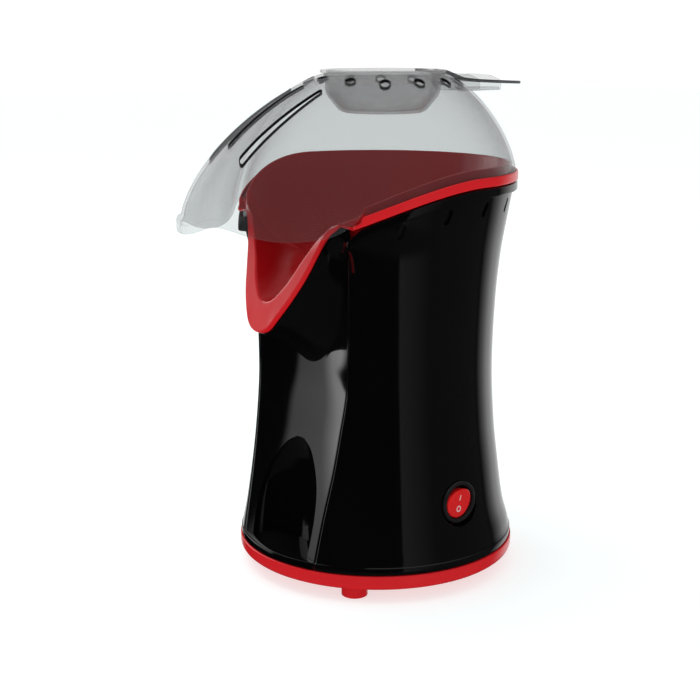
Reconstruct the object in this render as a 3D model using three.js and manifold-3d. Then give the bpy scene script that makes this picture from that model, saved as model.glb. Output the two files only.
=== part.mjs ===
// Hot-air popcorn maker: waisted two-piece housing on a round base, funnel with a front chute,
// clear domed lid with a hood, measuring cup in the lid, and the blower, heater and popping
// chamber inside. Millimetres, +Z up, front (chute) towards -Y, switch on the +X side.
import * as THREE from 'three';
import { mergeVertices } from 'three/addons/utils/BufferGeometryUtils.js';
import Module from 'manifold-3d';

const wasm = await Module();
wasm.setup();

// ---------------------------------------------------------------- driving dimensions
const GAP = 0.3; // clearance between pieces that meet
const WALL = 2.5; // moulded wall thickness
const AXIS_Y = 9.8; // body axis behind the middle of the overall length

const BASE_RADIUS = 81.5;
const BASE_BOTTOM = 7; // underside of the base ring, above the feet
const BASE_TOP = 16;
const BAND_TOP = 20.6; // plain band round the housing's foot
const BAND_DIP = -7.6; // the band bulges with the base at the front
const FLOOR_THICKNESS = 2.5;
const FOOT_RADIUS = 7.5;
const FOOT_X = 44;
const FOOT_Y = 52;
const GRILLE_SLOTS = 12; // air intake under the blower

const RIM_RADIUS = 80.2; // rim bead of the housing and band of the funnel collar
const COLLAR_TOP = 232.5; // collar height behind COLLAR_BEND_Y
const COLLAR_BEND_Y = 10; // from here forwards the collar dips
const COLLAR_DIP = 0.004; // millimetres of dip per square millimetre
const COLLAR_BAND = 5.3; // visible height of the collar
const RIM_BAND = 5; // height of the rim bead under it
const VENT_DROP = 17.8; // vent slots below the collar's top
const VENT_PITCH = 20;
const VENT_COUNT = 13;

const INNER_Y = 5; // axis of the chamber, heater and blower
const MOUTH_RADIUS = 41.5; // hole of the funnel over the chamber
const MOUTH_LEDGE = 48;
const MOUTH_Z = 184;

const LID_OUTER = 79.1;
const LID_WALL = 1.7;
const LID_TOP = 285.6;
const LID_HOLE = 33.8; // opening for the cup
const LID_CENTRE_Y = 4;
const LID_EXPONENT = 1.5; // fullness of the dome's profile
const LID_FLANK = 4; // extra fullness of the hood's two flanks
const STEAM_HOLES = 14;
const STEAM_RING = 43;

const CUP_RADIUS = 33.2; // outside, under the rim
const CUP_TOP = 287.8;
const CUP_DEPTH = 24;
const HANDLE_END_Y = 112;

const SWITCH_Z = 51;
const SWITCH_FACE_X = 72.2; // flat counterbore in the side wall
const ROCKER_PIVOT_X = 70.6;
const ROCKER_TILT = 10; // degrees either side of neutral
const TERMINAL_Y = [-4, 4];
const GLAND_Z = 34;
const GLAND_FACE_Y = 77.8; // flat counterbore in the rear wall

const CHAMBER_RADIUS = 40;
const CHAMBER_BOTTOM = 98;
const LOUVRES = 14; // air slots round the chamber's foot
const SHIELD_RADIUS = 48;
const FAN_DUCT_RADIUS = 42;
const FAN_DUCT_BOTTOM = 38;
const FAN_DUCT_TOP = 74;
const MOTOR_RADIUS = 14;
const MOTOR_TOP = 50;
const MOTOR_SCREW_X = [-9, 9];
const POST_RADIUS = 48; // posts that carry the fan duct
const RING_SCREW_RADIUS = 44.8; // screws of the chamber's clamp ring
const FAN_RADIUS = 36;

// ---------------------------------------------------------------- materials
function finish(color, roughness, metalness = 0, opacity = 1) {
  return new THREE.MeshStandardMaterial({
    color, roughness, metalness, opacity, transparent: opacity < 1,
  });
}
const BLACK_GLOSS = finish(0x0b0b0d, 0.12);
const RED_GLOSS = finish(0xc81a22, 0.2);
const CLEAR_SMOKE = finish(0xd6dadb, 0.06, 0, 0.35);
const CUP_SMOKE = finish(0x8f9496, 0.1, 0, 0.6);
const RED_LENS = finish(0xe01b1b, 0.15);
const BLACK_PLASTIC = finish(0x151516, 0.45);
const ALUMINIUM = finish(0xc9ccd0, 0.3, 1);
const STEEL = finish(0xb5b8bb, 0.35, 1);
const BRASS = finish(0xc8a450, 0.35, 1);
const MICA = finish(0xb49a6a, 0.6);
const NICHROME = finish(0x8d8a86, 0.4, 1);
const BOARD = finish(0x1d6b3a, 0.5);
const RUBBER = finish(0x1a1a1a, 0.8);

// ---------------------------------------------------------------- number helpers
const radians = THREE.MathUtils.degToRad;
const lerp = THREE.MathUtils.lerp;
const range = (count) => Array.from({ length: count }, (_, index) => index);
const mix = (a, b, t) => a.map((value, index) => lerp(value, b[index], t));
const add = (a, b) => a.map((value, index) => value + b[index]);

// Smooth function through rows of [key, value, value, ...]; returns the values as a list.
function through(rows) {
  const slopes = rows.map((row, i) => {
    const before = rows[Math.max(i - 1, 0)];
    const after = rows[Math.min(i + 1, rows.length - 1)];
    return row.map((_, k) => (after[k] - before[k]) / (after[0] - before[0]));
  });
  return (key) => {
    const last = rows.length - 2;
    const found = rows.findIndex((row) => row[0] > key) - 1;
    const i = found === -2 ? last : Math.max(found, 0);
    const span = rows[i + 1][0] - rows[i][0];
    const t = THREE.MathUtils.clamp((key - rows[i][0]) / span, 0, 1);
    const bend = [2 * t ** 3 - 3 * t * t + 1, t ** 3 - 2 * t * t + t, 3 * t * t - 2 * t ** 3, t ** 3 - t * t];
    return rows[i].slice(1).map((value, k) => bend[0] * value + bend[1] * span * slopes[i][k + 1]
      + bend[2] * rows[i + 1][k + 1] + bend[3] * span * slopes[i + 1][k + 1]);
  };
}

// ---------------------------------------------------------------- mesh helpers
function meshOf(vertices, triangles) {
  const geometry = new THREE.BufferGeometry();
  geometry.setAttribute('position', new THREE.Float32BufferAttribute(vertices.flat(), 3));
  let volume = 0;
  for (const [a, b, c] of triangles) {
    const [p, q, r] = [vertices[a], vertices[b], vertices[c]];
    volume += p[0] * (q[1] * r[2] - q[2] * r[1]) + p[1] * (q[2] * r[0] - q[0] * r[2])
      + p[2] * (q[0] * r[1] - q[1] * r[0]);
  }
  const outward = volume > 0 ? triangles : triangles.map(([a, b, c]) => [a, c, b]);
  geometry.setIndex(outward.flat());
  return geometry;
}

// Skin over rows of closed section loops. ends: 'join' closes the rows into a ring,
// 'strip' caps a hollow section (its two halves face each other), 'fan' caps a full one.
function skin(rows, ends) {
  const width = rows[0].length;
  const vertices = rows.flat();
  const triangles = [];
  const rowPairs = ends === 'join' ? rows.length : rows.length - 1;
  for (let i = 0; i < rowPairs; i += 1) {
    for (let j = 0; j < width; j += 1) {
      const a = i * width + j;
      const b = i * width + ((j + 1) % width);
      const c = ((i + 1) % rows.length) * width + ((j + 1) % width);
      const d = ((i + 1) % rows.length) * width + j;
      triangles.push([a, b, c], [a, c, d]);
    }
  }
  if (ends === 'strip') {
    for (const [start, flip] of [[0, true], [(rows.length - 1) * width, false]]) {
      for (let j = 0; j < width / 2 - 1; j += 1) {
        const quad = [start + j, start + j + 1, start + width - 2 - j, start + width - 1 - j];
        if (flip) quad.reverse();
        triangles.push([quad[0], quad[1], quad[2]], [quad[0], quad[2], quad[3]]);
      }
    }
  }
  if (ends === 'fan') {
    for (const [row, flip] of [[0, true], [rows.length - 1, false]]) {
      const loop = rows[row];
      const centre = loop.reduce((sum, point) => add(sum, point)).map((value) => value / width);
      vertices.push(centre);
      for (let j = 0; j < width; j += 1) {
        const pair = [row * width + j, row * width + ((j + 1) % width)];
        if (flip) pair.reverse();
        triangles.push([vertices.length - 1, pair[0], pair[1]]);
      }
    }
  }
  return meshOf(vertices, triangles);
}

function solid(geometry) {
  const bare = new THREE.BufferGeometry();
  bare.setAttribute('position', geometry.getAttribute('position').clone());
  if (geometry.index) bare.setIndex(geometry.index.clone());
  const merged = mergeVertices(bare, 1e-4);
  return new wasm.Manifold(new wasm.Mesh({
    numProp: 3,
    vertProperties: new Float32Array(merged.getAttribute('position').array),
    triVerts: new Uint32Array(merged.index.array),
  }));
}

function geometryOf(manifold) {
  const mesh = manifold.getMesh();
  const geometry = new THREE.BufferGeometry();
  geometry.setAttribute('position', new THREE.Float32BufferAttribute(mesh.vertProperties, 3));
  geometry.setIndex(Array.from(mesh.triVerts));
  return geometry;
}

const joined = (pieces) => pieces.reduce((whole, piece) => whole.add(piece));
const without = (whole, cuts) => cuts.reduce((rest, cut) => rest.subtract(cut), whole);

// ---------------------------------------------------------------- plain shapes
function rod(radius, bottom, top, segments = 16, x = 0, y = 0) {
  const shape = new THREE.CylinderGeometry(radius, radius, top - bottom, segments);
  return shape.rotateX(Math.PI / 2).translate(x, y, (bottom + top) / 2);
}

function turned(profile, segments = 32, x = 0, y = 0) {
  const points = profile.map(([radius, z]) => new THREE.Vector2(radius, z));
  return new THREE.LatheGeometry(points, segments).rotateX(Math.PI / 2).translate(x, y, 0);
}

function ring(inner, outer, bottom, top, segments = 32, x = 0, y = 0) {
  const profile = [[inner, bottom], [outer, bottom], [outer, top], [inner, top], [inner, bottom]];
  return turned(profile, segments, x, y);
}

function block(from, to) {
  const size = to.map((value, index) => value - from[index]);
  const middle = to.map((value, index) => (value + from[index]) / 2);
  return new THREE.BoxGeometry(...size).translate(...middle);
}

// Slot-shaped bar along +Z: width across, length end to end, rounded ends along Y.
function capsule(width, length, depth, segments = 5) {
  const radius = width / 2;
  const reach = length / 2 - radius;
  const shape = new THREE.Shape();
  shape.absarc(0, reach, radius, 0, Math.PI);
  shape.absarc(0, -reach, radius, Math.PI, 2 * Math.PI);
  return new THREE.ExtrudeGeometry(shape, { depth, bevelEnabled: false, curveSegments: segments });
}

function wire(points, radius, steps, sides = 6) {
  const circle = new THREE.Shape();
  range(sides).forEach((side) => {
    const angle = (2 * Math.PI * side) / sides;
    const corner = [radius * Math.cos(angle), radius * Math.sin(angle)];
    if (side === 0) circle.moveTo(...corner);
    else circle.lineTo(...corner);
  });
  const path = new THREE.CatmullRomCurve3(points.map((point) => new THREE.Vector3(...point)));
  return new THREE.ExtrudeGeometry(circle, { steps, extrudePath: path, curveSegments: 1 });
}

// ---------------------------------------------------------------- outer form
const collarTop = (y) => COLLAR_TOP - COLLAR_DIP * Math.min(y - COLLAR_BEND_Y, 0) ** 2;
const housingTop = (y) => collarTop(y) - COLLAR_BAND - 2 * GAP;

// Waisted body: height to radius.
const bodyRadius = through([
  [16, 81], [26, 79.2], [35, 76.6], [45, 74.8], [60, 72.8], [85, 69.9],
  [119, 68.1], [157, 69.1], [185, 71.5], [208, 75.2], [235, 80],
]);

// Edge where the side wall meets the front panel: height to half width and depth.
const crease = through([
  [16, 34.3, -73.4], [22, 34.6, -72.5], [46, 35.7, -67.4], [70, 37.7, -62.2], [94, 39.4, -58.2],
  [113, 41, -55.7], [130, 41.7, -55.2], [152, 42.9, -55.1], [174.5, 44.3, -56.3],
  [196, 46.2, -57.8], [208, 47.6, -59.6],
]);

// How far the front panel is sunk at its middle, above the band.
const panelDip = through([
  [BAND_TOP, 1.5], [50, 2.4], [84, 4], [105, 4.6], [125, 6.3], [150, 7.5], [208, 6],
]);

function panelFront(x, z) {
  const [halfWidth, depth] = crease(z);
  const dip = z < BAND_TOP ? BAND_DIP : panelDip(z)[0];
  return depth + dip * (1 - (x / halfWidth) ** 2);
}

// Side wall at a fraction around from one crease to the other, inset by a wall thickness.
function sideWall(fraction, z, inset) {
  const [x, y] = crease(z);
  const start = Math.atan2(y, x);
  const angle = start + fraction * (Math.PI - 2 * start);
  const proud = Math.hypot(x, y) - bodyRadius(z)[0];
  const offEdge = Math.min(angle - start, Math.PI - start - angle);
  const radius = bodyRadius(z)[0] + proud * Math.exp(-((offEdge / 0.22) ** 2)) - inset;
  return [radius * Math.cos(angle), radius * Math.sin(angle), z];
}

// ---------------------------------------------------------------- funnel and chute
// Half of the chute lip from its tip upwards: bearing at the mouth, inner edge, outer edge.
const LIP = [
  [-90, [0, -80.4, 164.6], [0, -86, 148.3]],
  [-82, [5.5, -79.8, 166.2], [7.5, -85.3, 150.5]],
  [-74, [10, -77.8, 170.6], [13, -83.4, 157]],
  [-66, [14.6, -75, 177], [20, -79, 168]],
  [-59, [19, -71.8, 185], [26, -73.7, 180.5]],
  [-53, [24, -68.8, 193], [30.6, -69.4, 192.6]],
  [-48, [30, -65.5, 201.5], [35.5, -66, 203.5]],
  [-44, [38, -61.5, 207.5], [42.8, -62, 209.6]],
];
const SPREAD_OUT = 1.6; // how far the bowl's underside stands out from its inside
const LIP_SPREAD_OUT = [1.6, 1.6, 1.6, 1.6, 1.6, 1.2, 0.6, 0.2]; // the same, for each row of LIP
const LIP_NORMAL = [0, -0.932, 0.363];
const FLANGE = 3.4; // thickness of the lip's flat rim
const COLLAR_START = -45;
const COLLAR_ROWS = 12;
const BOWL_SAG = 6; // how far the bowl hangs below a straight line from the mouth to the rim

function collarPoint(radius, degrees, lift) {
  const [x, y] = [radius * Math.cos(radians(degrees)), radius * Math.sin(radians(degrees))];
  return [x, y, collarTop(RIM_RADIUS * Math.sin(radians(degrees))) + lift];
}

function mouthPoint(radius, degrees, z) {
  return [radius * Math.cos(radians(degrees)), INNER_Y + radius * Math.sin(radians(degrees)), z];
}

// One closed section of the funnel, from the mouth up the inside, over the rim and back below.
function funnelSection(bearing, rim, inner, spreadOut = SPREAD_OUT) {
  const ledge = mouthPoint(MOUTH_LEDGE, bearing, MOUTH_Z);
  const bowl = range(4).map((k) => {
    const t = (k + 1) / 5;
    return add(mix(ledge, inner, t), [0, 0, -BOWL_SAG * Math.sin(Math.PI * t)]);
  });
  const outwards = [spreadOut * Math.cos(radians(bearing)), spreadOut * Math.sin(radians(bearing)), -WALL];
  const below = (point) => add(point, outwards);
  return [
    mouthPoint(MOUTH_RADIUS, bearing, MOUTH_Z), ledge, ...bowl, inner, ...rim,
    ...bowl.map(below).reverse(), add(ledge, [0, 0, -WALL]),
    mouthPoint(MOUTH_RADIUS, bearing, MOUTH_Z - WALL),
  ];
}

function lipSection([bearing, inner, outer], row) {
  const back = LIP_NORMAL.map((value) => -FLANGE * value);
  const rim = [
    mix(inner, outer, 0.3), mix(inner, outer, 0.55), mix(inner, outer, 0.8), outer,
    add(outer, back), add(mix(inner, outer, 0.45), back),
  ];
  return funnelSection(bearing, rim, inner, LIP_SPREAD_OUT[row]);
}

function collarSection(degrees) {
  const inner = collarPoint(74.2, degrees, 4.2);
  const rim = [
    collarPoint(75.7, degrees, 4.2), collarPoint(76.6, degrees, -2), collarPoint(79.4, degrees, -2),
    collarPoint(79.5, degrees, 0), collarPoint(RIM_RADIUS + 0.2, degrees, -0.4),
    collarPoint(RIM_RADIUS + 0.2, degrees, -COLLAR_BAND), collarPoint(77.3, degrees, -COLLAR_BAND),
  ];
  return funnelSection(degrees + 4 * Math.cos(radians(degrees)), rim, inner);
}

const mirrored = (section) => section.map(([x, y, z]) => [-x, y, z]);

function ringOf(halfSections) {
  const middle = halfSections.slice(1, -1).reverse().map(mirrored);
  return [...halfSections, ...middle];
}

function funnelSections() {
  const lip = LIP.map((edges, row) => {
    const section = lipSection(edges, row);
    section.splice(10, 0, mix(section[9], section[10], 0.5));
    return section;
  });
  const collar = range(COLLAR_ROWS + 1).map((k) => {
    const degrees = lerp(COLLAR_START, 90, k / COLLAR_ROWS);
    return collarSection(degrees);
  });
  return ringOf([...lip, ...collar]);
}

const POST_BEARINGS = [30, 150, 270]; // screws and posts round the chamber and the blower
const postPlace = (bearing) => mouthPoint(POST_RADIUS, bearing, 0).slice(0, 2);
const ringScrewPlace = (bearing) => mouthPoint(RING_SCREW_RADIUS, bearing, 0).slice(0, 2);

function funnelChute() {
  const bosses = POST_BEARINGS.map((bearing) =>
    solid(rod(2.6, MOUTH_Z - 1.2, MOUTH_Z + 1.6, 10, ...ringScrewPlace(bearing))));
  const holes = POST_BEARINGS.map((bearing) =>
    solid(rod(1.3, MOUTH_Z - 5, MOUTH_Z + 0.8, 8, ...ringScrewPlace(bearing))));
  return geometryOf(without(joined([solid(skin(funnelSections(), 'join')), ...bosses]), holes));
}

const UNDERSIDE_START = 11; // first point of a funnel section that is below its rim
const KEEP_OUT_TOP = 300;

// Space over the funnel's underside: what the housing and panel must stay clear of.
function funnelKeepOut() {
  const rows = funnelSections().map((section) => {
    const under = section.slice(UNDERSIDE_START).map(([x, y, z]) => {
      const reach = Math.hypot(x, y - INNER_Y);
      const grow = 1 + (3 * GAP) / reach;
      return [x * grow, INNER_Y + (y - INNER_Y) * grow, z - 3 * GAP];
    });
    const [first, last] = [under[0], under[under.length - 1]];
    return [...under, [last[0], last[1], KEEP_OUT_TOP], [first[0], first[1], KEEP_OUT_TOP]];
  });
  return solid(skin(rows, 'join'));
}

// ---------------------------------------------------------------- housing
const VENT_ANGLES = range(VENT_COUNT).map((k) => 90 + VENT_PITCH * (k - (VENT_COUNT - 1) / 2));

// The rim dips at its two front ends, where the chute crosses it.
const frontEndDrop = (fraction) => 4.2 * Math.exp(-((Math.min(fraction, 1 - fraction) / 0.013) ** 2));
const RIM_DRAWN_AT = 205; // height whose side wall gives the rim's bearings

function rearHousing() {
  const levels = [0, 0.06, 0.13, 0.24, 0.38, 0.56, 0.74, 0.88, 1];
  const steps = 30;
  const rows = range(steps + 1).map((k) => {
    const fraction = k / steps;
    const atTop = sideWall(fraction, RIM_DRAWN_AT, 0);
    const angle = Math.atan2(atTop[1], atTop[0]);
    const top = housingTop(RIM_RADIUS * Math.sin(angle)) - frontEndDrop(fraction);
    const heights = levels.map((level) => lerp(BASE_TOP + GAP, top - RIM_BAND - 0.6, level));
    const outer = heights.map((z) => sideWall(fraction, z, 0));
    const inner = heights.map((z) => sideWall(fraction, z, WALL));
    const bead = (radius, z) => [radius * Math.cos(angle), radius * Math.sin(angle), z];
    return [
      ...outer, bead(RIM_RADIUS - 0.8, top - RIM_BAND), bead(RIM_RADIUS, top - RIM_BAND + 0.8),
      bead(RIM_RADIUS, top), bead(77, top), bead(76.8, top - RIM_BAND + 0.8),
      bead(75.6, top - RIM_BAND), ...inner.reverse(),
    ];
  });
  const shell = solid(skin(rows, 'strip'));
  return geometryOf(without(joined([shell, ...screwBosses()]), [
    ...ventCuts(), ...bossHoles(), ...switchCuts(), ...glandCuts(),
  ]));
}

const FEET = [[1, -1], [1, 1], [-1, 1], [-1, -1]].map(([x, y]) => [x * FOOT_X, y * FOOT_Y]);

function screwBosses() {
  return FEET.map(([x, y]) => {
    const post = solid(rod(4.2, 12, 40, 10, x, y));
    const bearing = Math.atan2(y, x);
    const rib = block([66, -1, 20], [75.5, 1, 38]).rotateZ(bearing);
    return post.add(solid(rib));
  });
}

const bossHoles = () => FEET.map(([x, y]) => solid(rod(1.9, 10, 28, 8, x, y)));

function ventCuts() {
  return VENT_ANGLES.map((degrees) => {
    const y = 74 * Math.sin(radians(degrees));
    const slot = capsule(3, 8.5, 14, 2).rotateZ(radians(-22)).rotateX(Math.PI / 2).rotateZ(Math.PI / 2);
    slot.translate(68, 0, collarTop(y) - VENT_DROP).rotateZ(radians(degrees));
    return solid(slot);
  });
}

function switchCuts() {
  const counterbore = rod(13.5, SWITCH_FACE_X, SWITCH_FACE_X + 10, 24).rotateY(Math.PI / 2);
  const hole = rod(10.8, 60, SWITCH_FACE_X + 1, 24).rotateY(Math.PI / 2);
  return [counterbore, hole].map((cut) => solid(cut.translate(0, 0, SWITCH_Z)));
}

function glandCuts() {
  const counterbore = rod(7.8, GLAND_FACE_Y, GLAND_FACE_Y + 10, 16).rotateX(-Math.PI / 2);
  const hole = rod(6.2, 60, GLAND_FACE_Y + 1, 14).rotateX(-Math.PI / 2);
  return [counterbore, hole].map((cut) => solid(cut.translate(0, 0, GLAND_Z)));
}

// ---------------------------------------------------------------- front panel
const nicheHalf = through([
  [18, 26], [26, 26.6], [34, 27], [43, 26.8], [52, 25.6], [60, 23.2], [67, 19.6], [74, 14.8],
  [79, 10], [83, 2.5],
]);
const nicheDepth = through([[18, 18.4], [35, 16.6], [52, 13.4], [67, 8], [76, 4], [83, 0.6]]);

function nicheRows(heights, grow, frontOf) {
  return heights.map(([z, drawnAt]) => {
    const half = Math.min(nicheHalf(drawnAt)[0] + grow, crease(drawnAt)[0] - (grow ? 2.7 : 4));
    const edge = panelFront(half, z);
    const depth = nicheDepth(drawnAt)[0] + grow;
    const arc = range(11).map((k) => {
      const angle = Math.PI * (1 - k / 10);
      return [half * Math.cos(angle), edge + 0.6 * grow + depth * Math.sin(angle), z];
    });
    const front = range(5).map((k) => {
      const x = half * (1 - k / 2);
      return [x, frontOf(x, z), z];
    });
    return [...arc, ...front.map(([x, y, h]) => [x * 0.999, y, h])];
  });
}

function nicheCut() {
  const heights = [BAND_TOP, 27, 34, 43, 52, 60, 67, 74, 79, 83].map((z) => [z, z]);
  return solid(skin(nicheRows(heights, 0, () => -95), 'fan'));
}

function nicheShell() {
  const plain = [27, 34, 43, 52, 60, 67].map((z) => [z, z]);
  const foot = [[18, 20], [BAND_TOP - 0.1, 21], [BAND_TOP, 21]];
  const heights = [...foot, ...plain, [75, 74], [81, 79], [86, 83]];
  return solid(skin(nicheRows(heights, 2.3, (x, z) => panelFront(x, z) + 0.8), 'fan'));
}

// Bow-shaped chin under the chute, from the lip back to a U on the panel.
const CHIN_BACK = [
  [0, 125], [9, 127.3], [17.5, 133.5], [26.5, 143.5], [33.5, 157], [38, 176], [39.4, 198], [40.4, 207.2],
];

function chinRows(inset, stations, topHeight) {
  return stations.map(([t, shift]) => {
    const half = CHIN_BACK.map(([x, z], k) => {
      const front = add(LIP[k][2], LIP_NORMAL.map((value) => -(FLANGE + 2 * GAP) * value));
      const back = [x, panelFront(x, z) + 1.6, z];
      const point = add(mix(front, back, t), [0, shift, 0]);
      const hollow = 2.4 * Math.sin(Math.PI * t);
      const scale = front[0] > 0 ? hollow / 28 : 0;
      return [point[0] * (1 - scale), point[1], point[2] + hollow * (1 - k / 7)];
    });
    const loop = [...half.slice(1).reverse().map(([x, y, z]) => [-x, y, z]), ...half];
    const drawn = loop.map((point, k) => {
      const before = loop[Math.max(k - 1, 0)];
      const after = loop[Math.min(k + 1, loop.length - 1)];
      const length = Math.hypot(after[0] - before[0], after[2] - before[2]);
      const normal = [-(after[2] - before[2]) / length, 0, (after[0] - before[0]) / length];
      return add(point, normal.map((value) => value * inset));
    });
    const [first, last] = [drawn[0], drawn[drawn.length - 1]];
    const raise = (point) => [point[0], point[1], Math.max(topHeight, point[2] + 1)];
    return [...drawn, raise(last), raise(first)];
  });
}

const chinShell = () => solid(skin(chinRows(0, [0, 0.25, 0.5, 0.75, 1].map((t) => [t, 0]), 0), 'fan'));

function chinCut() {
  const stations = [[0, -8], [0, 0], [0.25, 0], [0.5, 0], [0.75, 0], [1, 0], [1, 14]];
  return solid(skin(chinRows(2.3, stations, 240), 'fan'));
}

function panelSlab() {
  const columns = 14;
  const heights = [BASE_TOP + GAP, BAND_TOP - 0.1, BAND_TOP, 36, 50, 68, 84, 105, 125, 148, 175, 209.4];
  const rows = range(columns + 1).map((k) => {
    const across = (2 * k) / columns - 1;
    const front = heights.map((z) => {
      const x = across * (crease(z)[0] - 0.5);
      return [x, panelFront(x, z), z];
    });
    const back = heights.map((z) => {
      const x = across * (crease(z)[0] - 3.6);
      return [x, panelFront(x, z) + WALL, z];
    });
    return [...front, ...back.reverse()];
  });
  return solid(skin(rows, 'strip'));
}

function frontPanel() {
  const form = joined([panelSlab(), chinShell(), nicheShell()]);
  return geometryOf(without(form, [chinCut(), nicheCut(), funnelKeepOut()]));
}

// ---------------------------------------------------------------- base
function basePlate() {
  const dish = turned([
    [0, BASE_BOTTOM], [78.5, BASE_BOTTOM], [BASE_RADIUS - 0.8, BASE_BOTTOM + 1],
    [BASE_RADIUS, BASE_BOTTOM + 3], [BASE_RADIUS, BASE_TOP], [77.3, BASE_TOP], [77.3, 17.6],
    [75.3, 17.6], [75.3, BASE_BOTTOM + FLOOR_THICKNESS], [0, BASE_BOTTOM + FLOOR_THICKNESS],
  ], 40);
  const feet = FEET.map(([x, y]) => solid(rod(FOOT_RADIUS, 0, BASE_BOTTOM + 2, 14, x, y)));
  const posts = POST_BEARINGS.map((bearing) =>
    solid(rod(4, BASE_BOTTOM + 1, FAN_DUCT_BOTTOM - GAP, 10, ...postPlace(bearing))));
  const recesses = FEET.map(([x, y]) => solid(rod(4, -1, 6.2, 10, x, y)));
  const clearances = FEET.map(([x, y]) => solid(rod(1.9, 0, 12, 8, x, y)));
  const pilots = POST_BEARINGS.map((bearing) => solid(rod(1.5, 24, 40, 8, ...postPlace(bearing))));
  const grille = range(GRILLE_SLOTS).map((k) => {
    const slot = capsule(3.4, 25, 8, 2).translate(0, 27, BASE_BOTTOM - 2);
    slot.rotateZ((2 * Math.PI * k) / GRILLE_SLOTS);
    return solid(slot.translate(0, INNER_Y, 0));
  });
  const form = joined([solid(dish), ...feet, ...posts]);
  return geometryOf(without(form, [...recesses, ...clearances, ...pilots, ...grille]));
}

// ---------------------------------------------------------------- lid
// Half outline of the lid's lower edge from the nose back to the collar: x, y, z.
const SKIRT = [
  [0, -131.6, 206.2], [6, -130.7, 206.8], [11, -128, 208.8], [15, -124, 210.6], [19, -118, 209.4],
  [25.5, -107, 205], [33, -94.5, 202.3], [40.5, -82, 202.2], [49.5, -69.5, 205], [55.8, -61, 212],
];
const LID_SLOTS = [[0, -77, 50], [14, -77.5, 54], [-14, -77.5, 54]]; // centre x, centre y, length
const LID_SLOT_WIDTH = 2.8;
const STEAM_RADIUS = 3.1;
const SKIRT_LIP = 4.5; // height of the turned-out lip at the nose
const LID_LEVELS = [0, 0.12, 0.26, 0.42, 0.58, 0.74, 0.88, 1];

function lidSkirt() {
  const collar = range(COLLAR_ROWS + 1).map((k) =>
    collarPoint(LID_OUTER, lerp(COLLAR_START, 90, k / COLLAR_ROWS), k ? GAP - 2 : 4 * GAP));
  return [...SKIRT, ...collar];
}

function lidSection([x, y, z], wall) {
  const bearing = Math.atan2(y - LID_CENTRE_Y, x);
  const reach = Math.hypot(x, y - LID_CENTRE_Y);
  const nose = THREE.MathUtils.smoothstep(-y, 100, 130);
  const at = (radius, height) => [
    radius * Math.cos(bearing), LID_CENTRE_Y + radius * Math.sin(bearing), height];
  const rimZ = z + nose * SKIRT_LIP;
  const flank = Math.sin(Math.PI * THREE.MathUtils.clamp((-y - 58) / 70, 0, 1)) ** 2;
  const arc = LID_LEVELS.map((level) => {
    const drop = Math.cos((level * Math.PI) / 2) ** (2 / LID_EXPONENT);
    const rise = Math.sin((level * Math.PI) / 2) ** (2 / LID_EXPONENT);
    const full = LID_FLANK * flank * Math.sin(level * Math.PI);
    const outer = LID_HOLE + (reach - LID_HOLE) * drop + full;
    const inner = LID_HOLE + (reach - wall - LID_HOLE) * drop + full;
    const height = lerp(rimZ, LID_TOP, rise);
    return [at(outer, height), at(inner, lerp(rimZ, LID_TOP - LID_WALL, rise))];
  });
  const lip = [at(reach, z), at(reach - wall, z)];
  const outside = [lip[0], ...arc.slice(nose > 0.01 ? 0 : 1).map((pair) => pair[0])];
  const inside = [lip[1], ...arc.slice(nose > 0.01 ? 0 : 1).map((pair) => pair[1])];
  if (nose <= 0.01) {
    outside.splice(1, 0, mix(outside[0], outside[1], 0.5));
    inside.splice(1, 0, mix(inside[0], inside[1], 0.5));
  }
  return [...outside, ...inside.reverse()];
}

function lidGrip() {
  const floor = block([-10, 50, 274.4], [10, 89, 276.6]);
  const cheeks = [-10, 8.2].map((x) => {
    const side = new THREE.Shape();
    side.moveTo(50, 274.6);
    side.lineTo(89, 274.6);
    side.lineTo(89, 280.4);
    side.quadraticCurveTo(76, 284.6, 64, 284.8);
    side.quadraticCurveTo(55, 284.6, 50, 281.5);
    const plate = new THREE.ExtrudeGeometry(side, { depth: 1.8, bevelEnabled: false, curveSegments: 4 });
    return solid(plate.rotateX(Math.PI / 2).rotateZ(Math.PI / 2).translate(x, 0, 0));
  });
  return joined([solid(floor), ...cheeks]);
}

function lidCover() {
  const sections = ringOf(lidSkirt().map((point) => lidSection(point, LID_WALL)));
  const inner = ringOf(lidSkirt().map((point) => {
    const section = lidSection(point, LID_WALL);
    const half = section.slice(section.length / 2);
    const [first, last] = [half[0], half[half.length - 1]];
    return [...half, [last[0], last[1], 190], [0.01 * first[0], LID_CENTRE_Y + 0.01 * first[1], 190],
      [0.01 * first[0], LID_CENTRE_Y + 0.01 * first[1], first[2]]];
  }));
  const grip = lidGrip().subtract(solid(skin(inner, 'join')));
  const slots = LID_SLOTS.map(([x, y, length]) =>
    solid(capsule(LID_SLOT_WIDTH, length, 90, 4).translate(x, y, 225)));
  const vents = range(STEAM_HOLES).map((k) => {
    const bearing = (2 * Math.PI * (k + 0.5)) / STEAM_HOLES + Math.PI / 2 + Math.PI / STEAM_HOLES;
    const place = [STEAM_RING * Math.cos(bearing), LID_CENTRE_Y + STEAM_RING * Math.sin(bearing)];
    return solid(rod(STEAM_RADIUS, 272, 295, 8, ...place));
  });
  return geometryOf(without(solid(skin(sections, 'join')).add(grip), [...slots, ...vents]));
}

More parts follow.
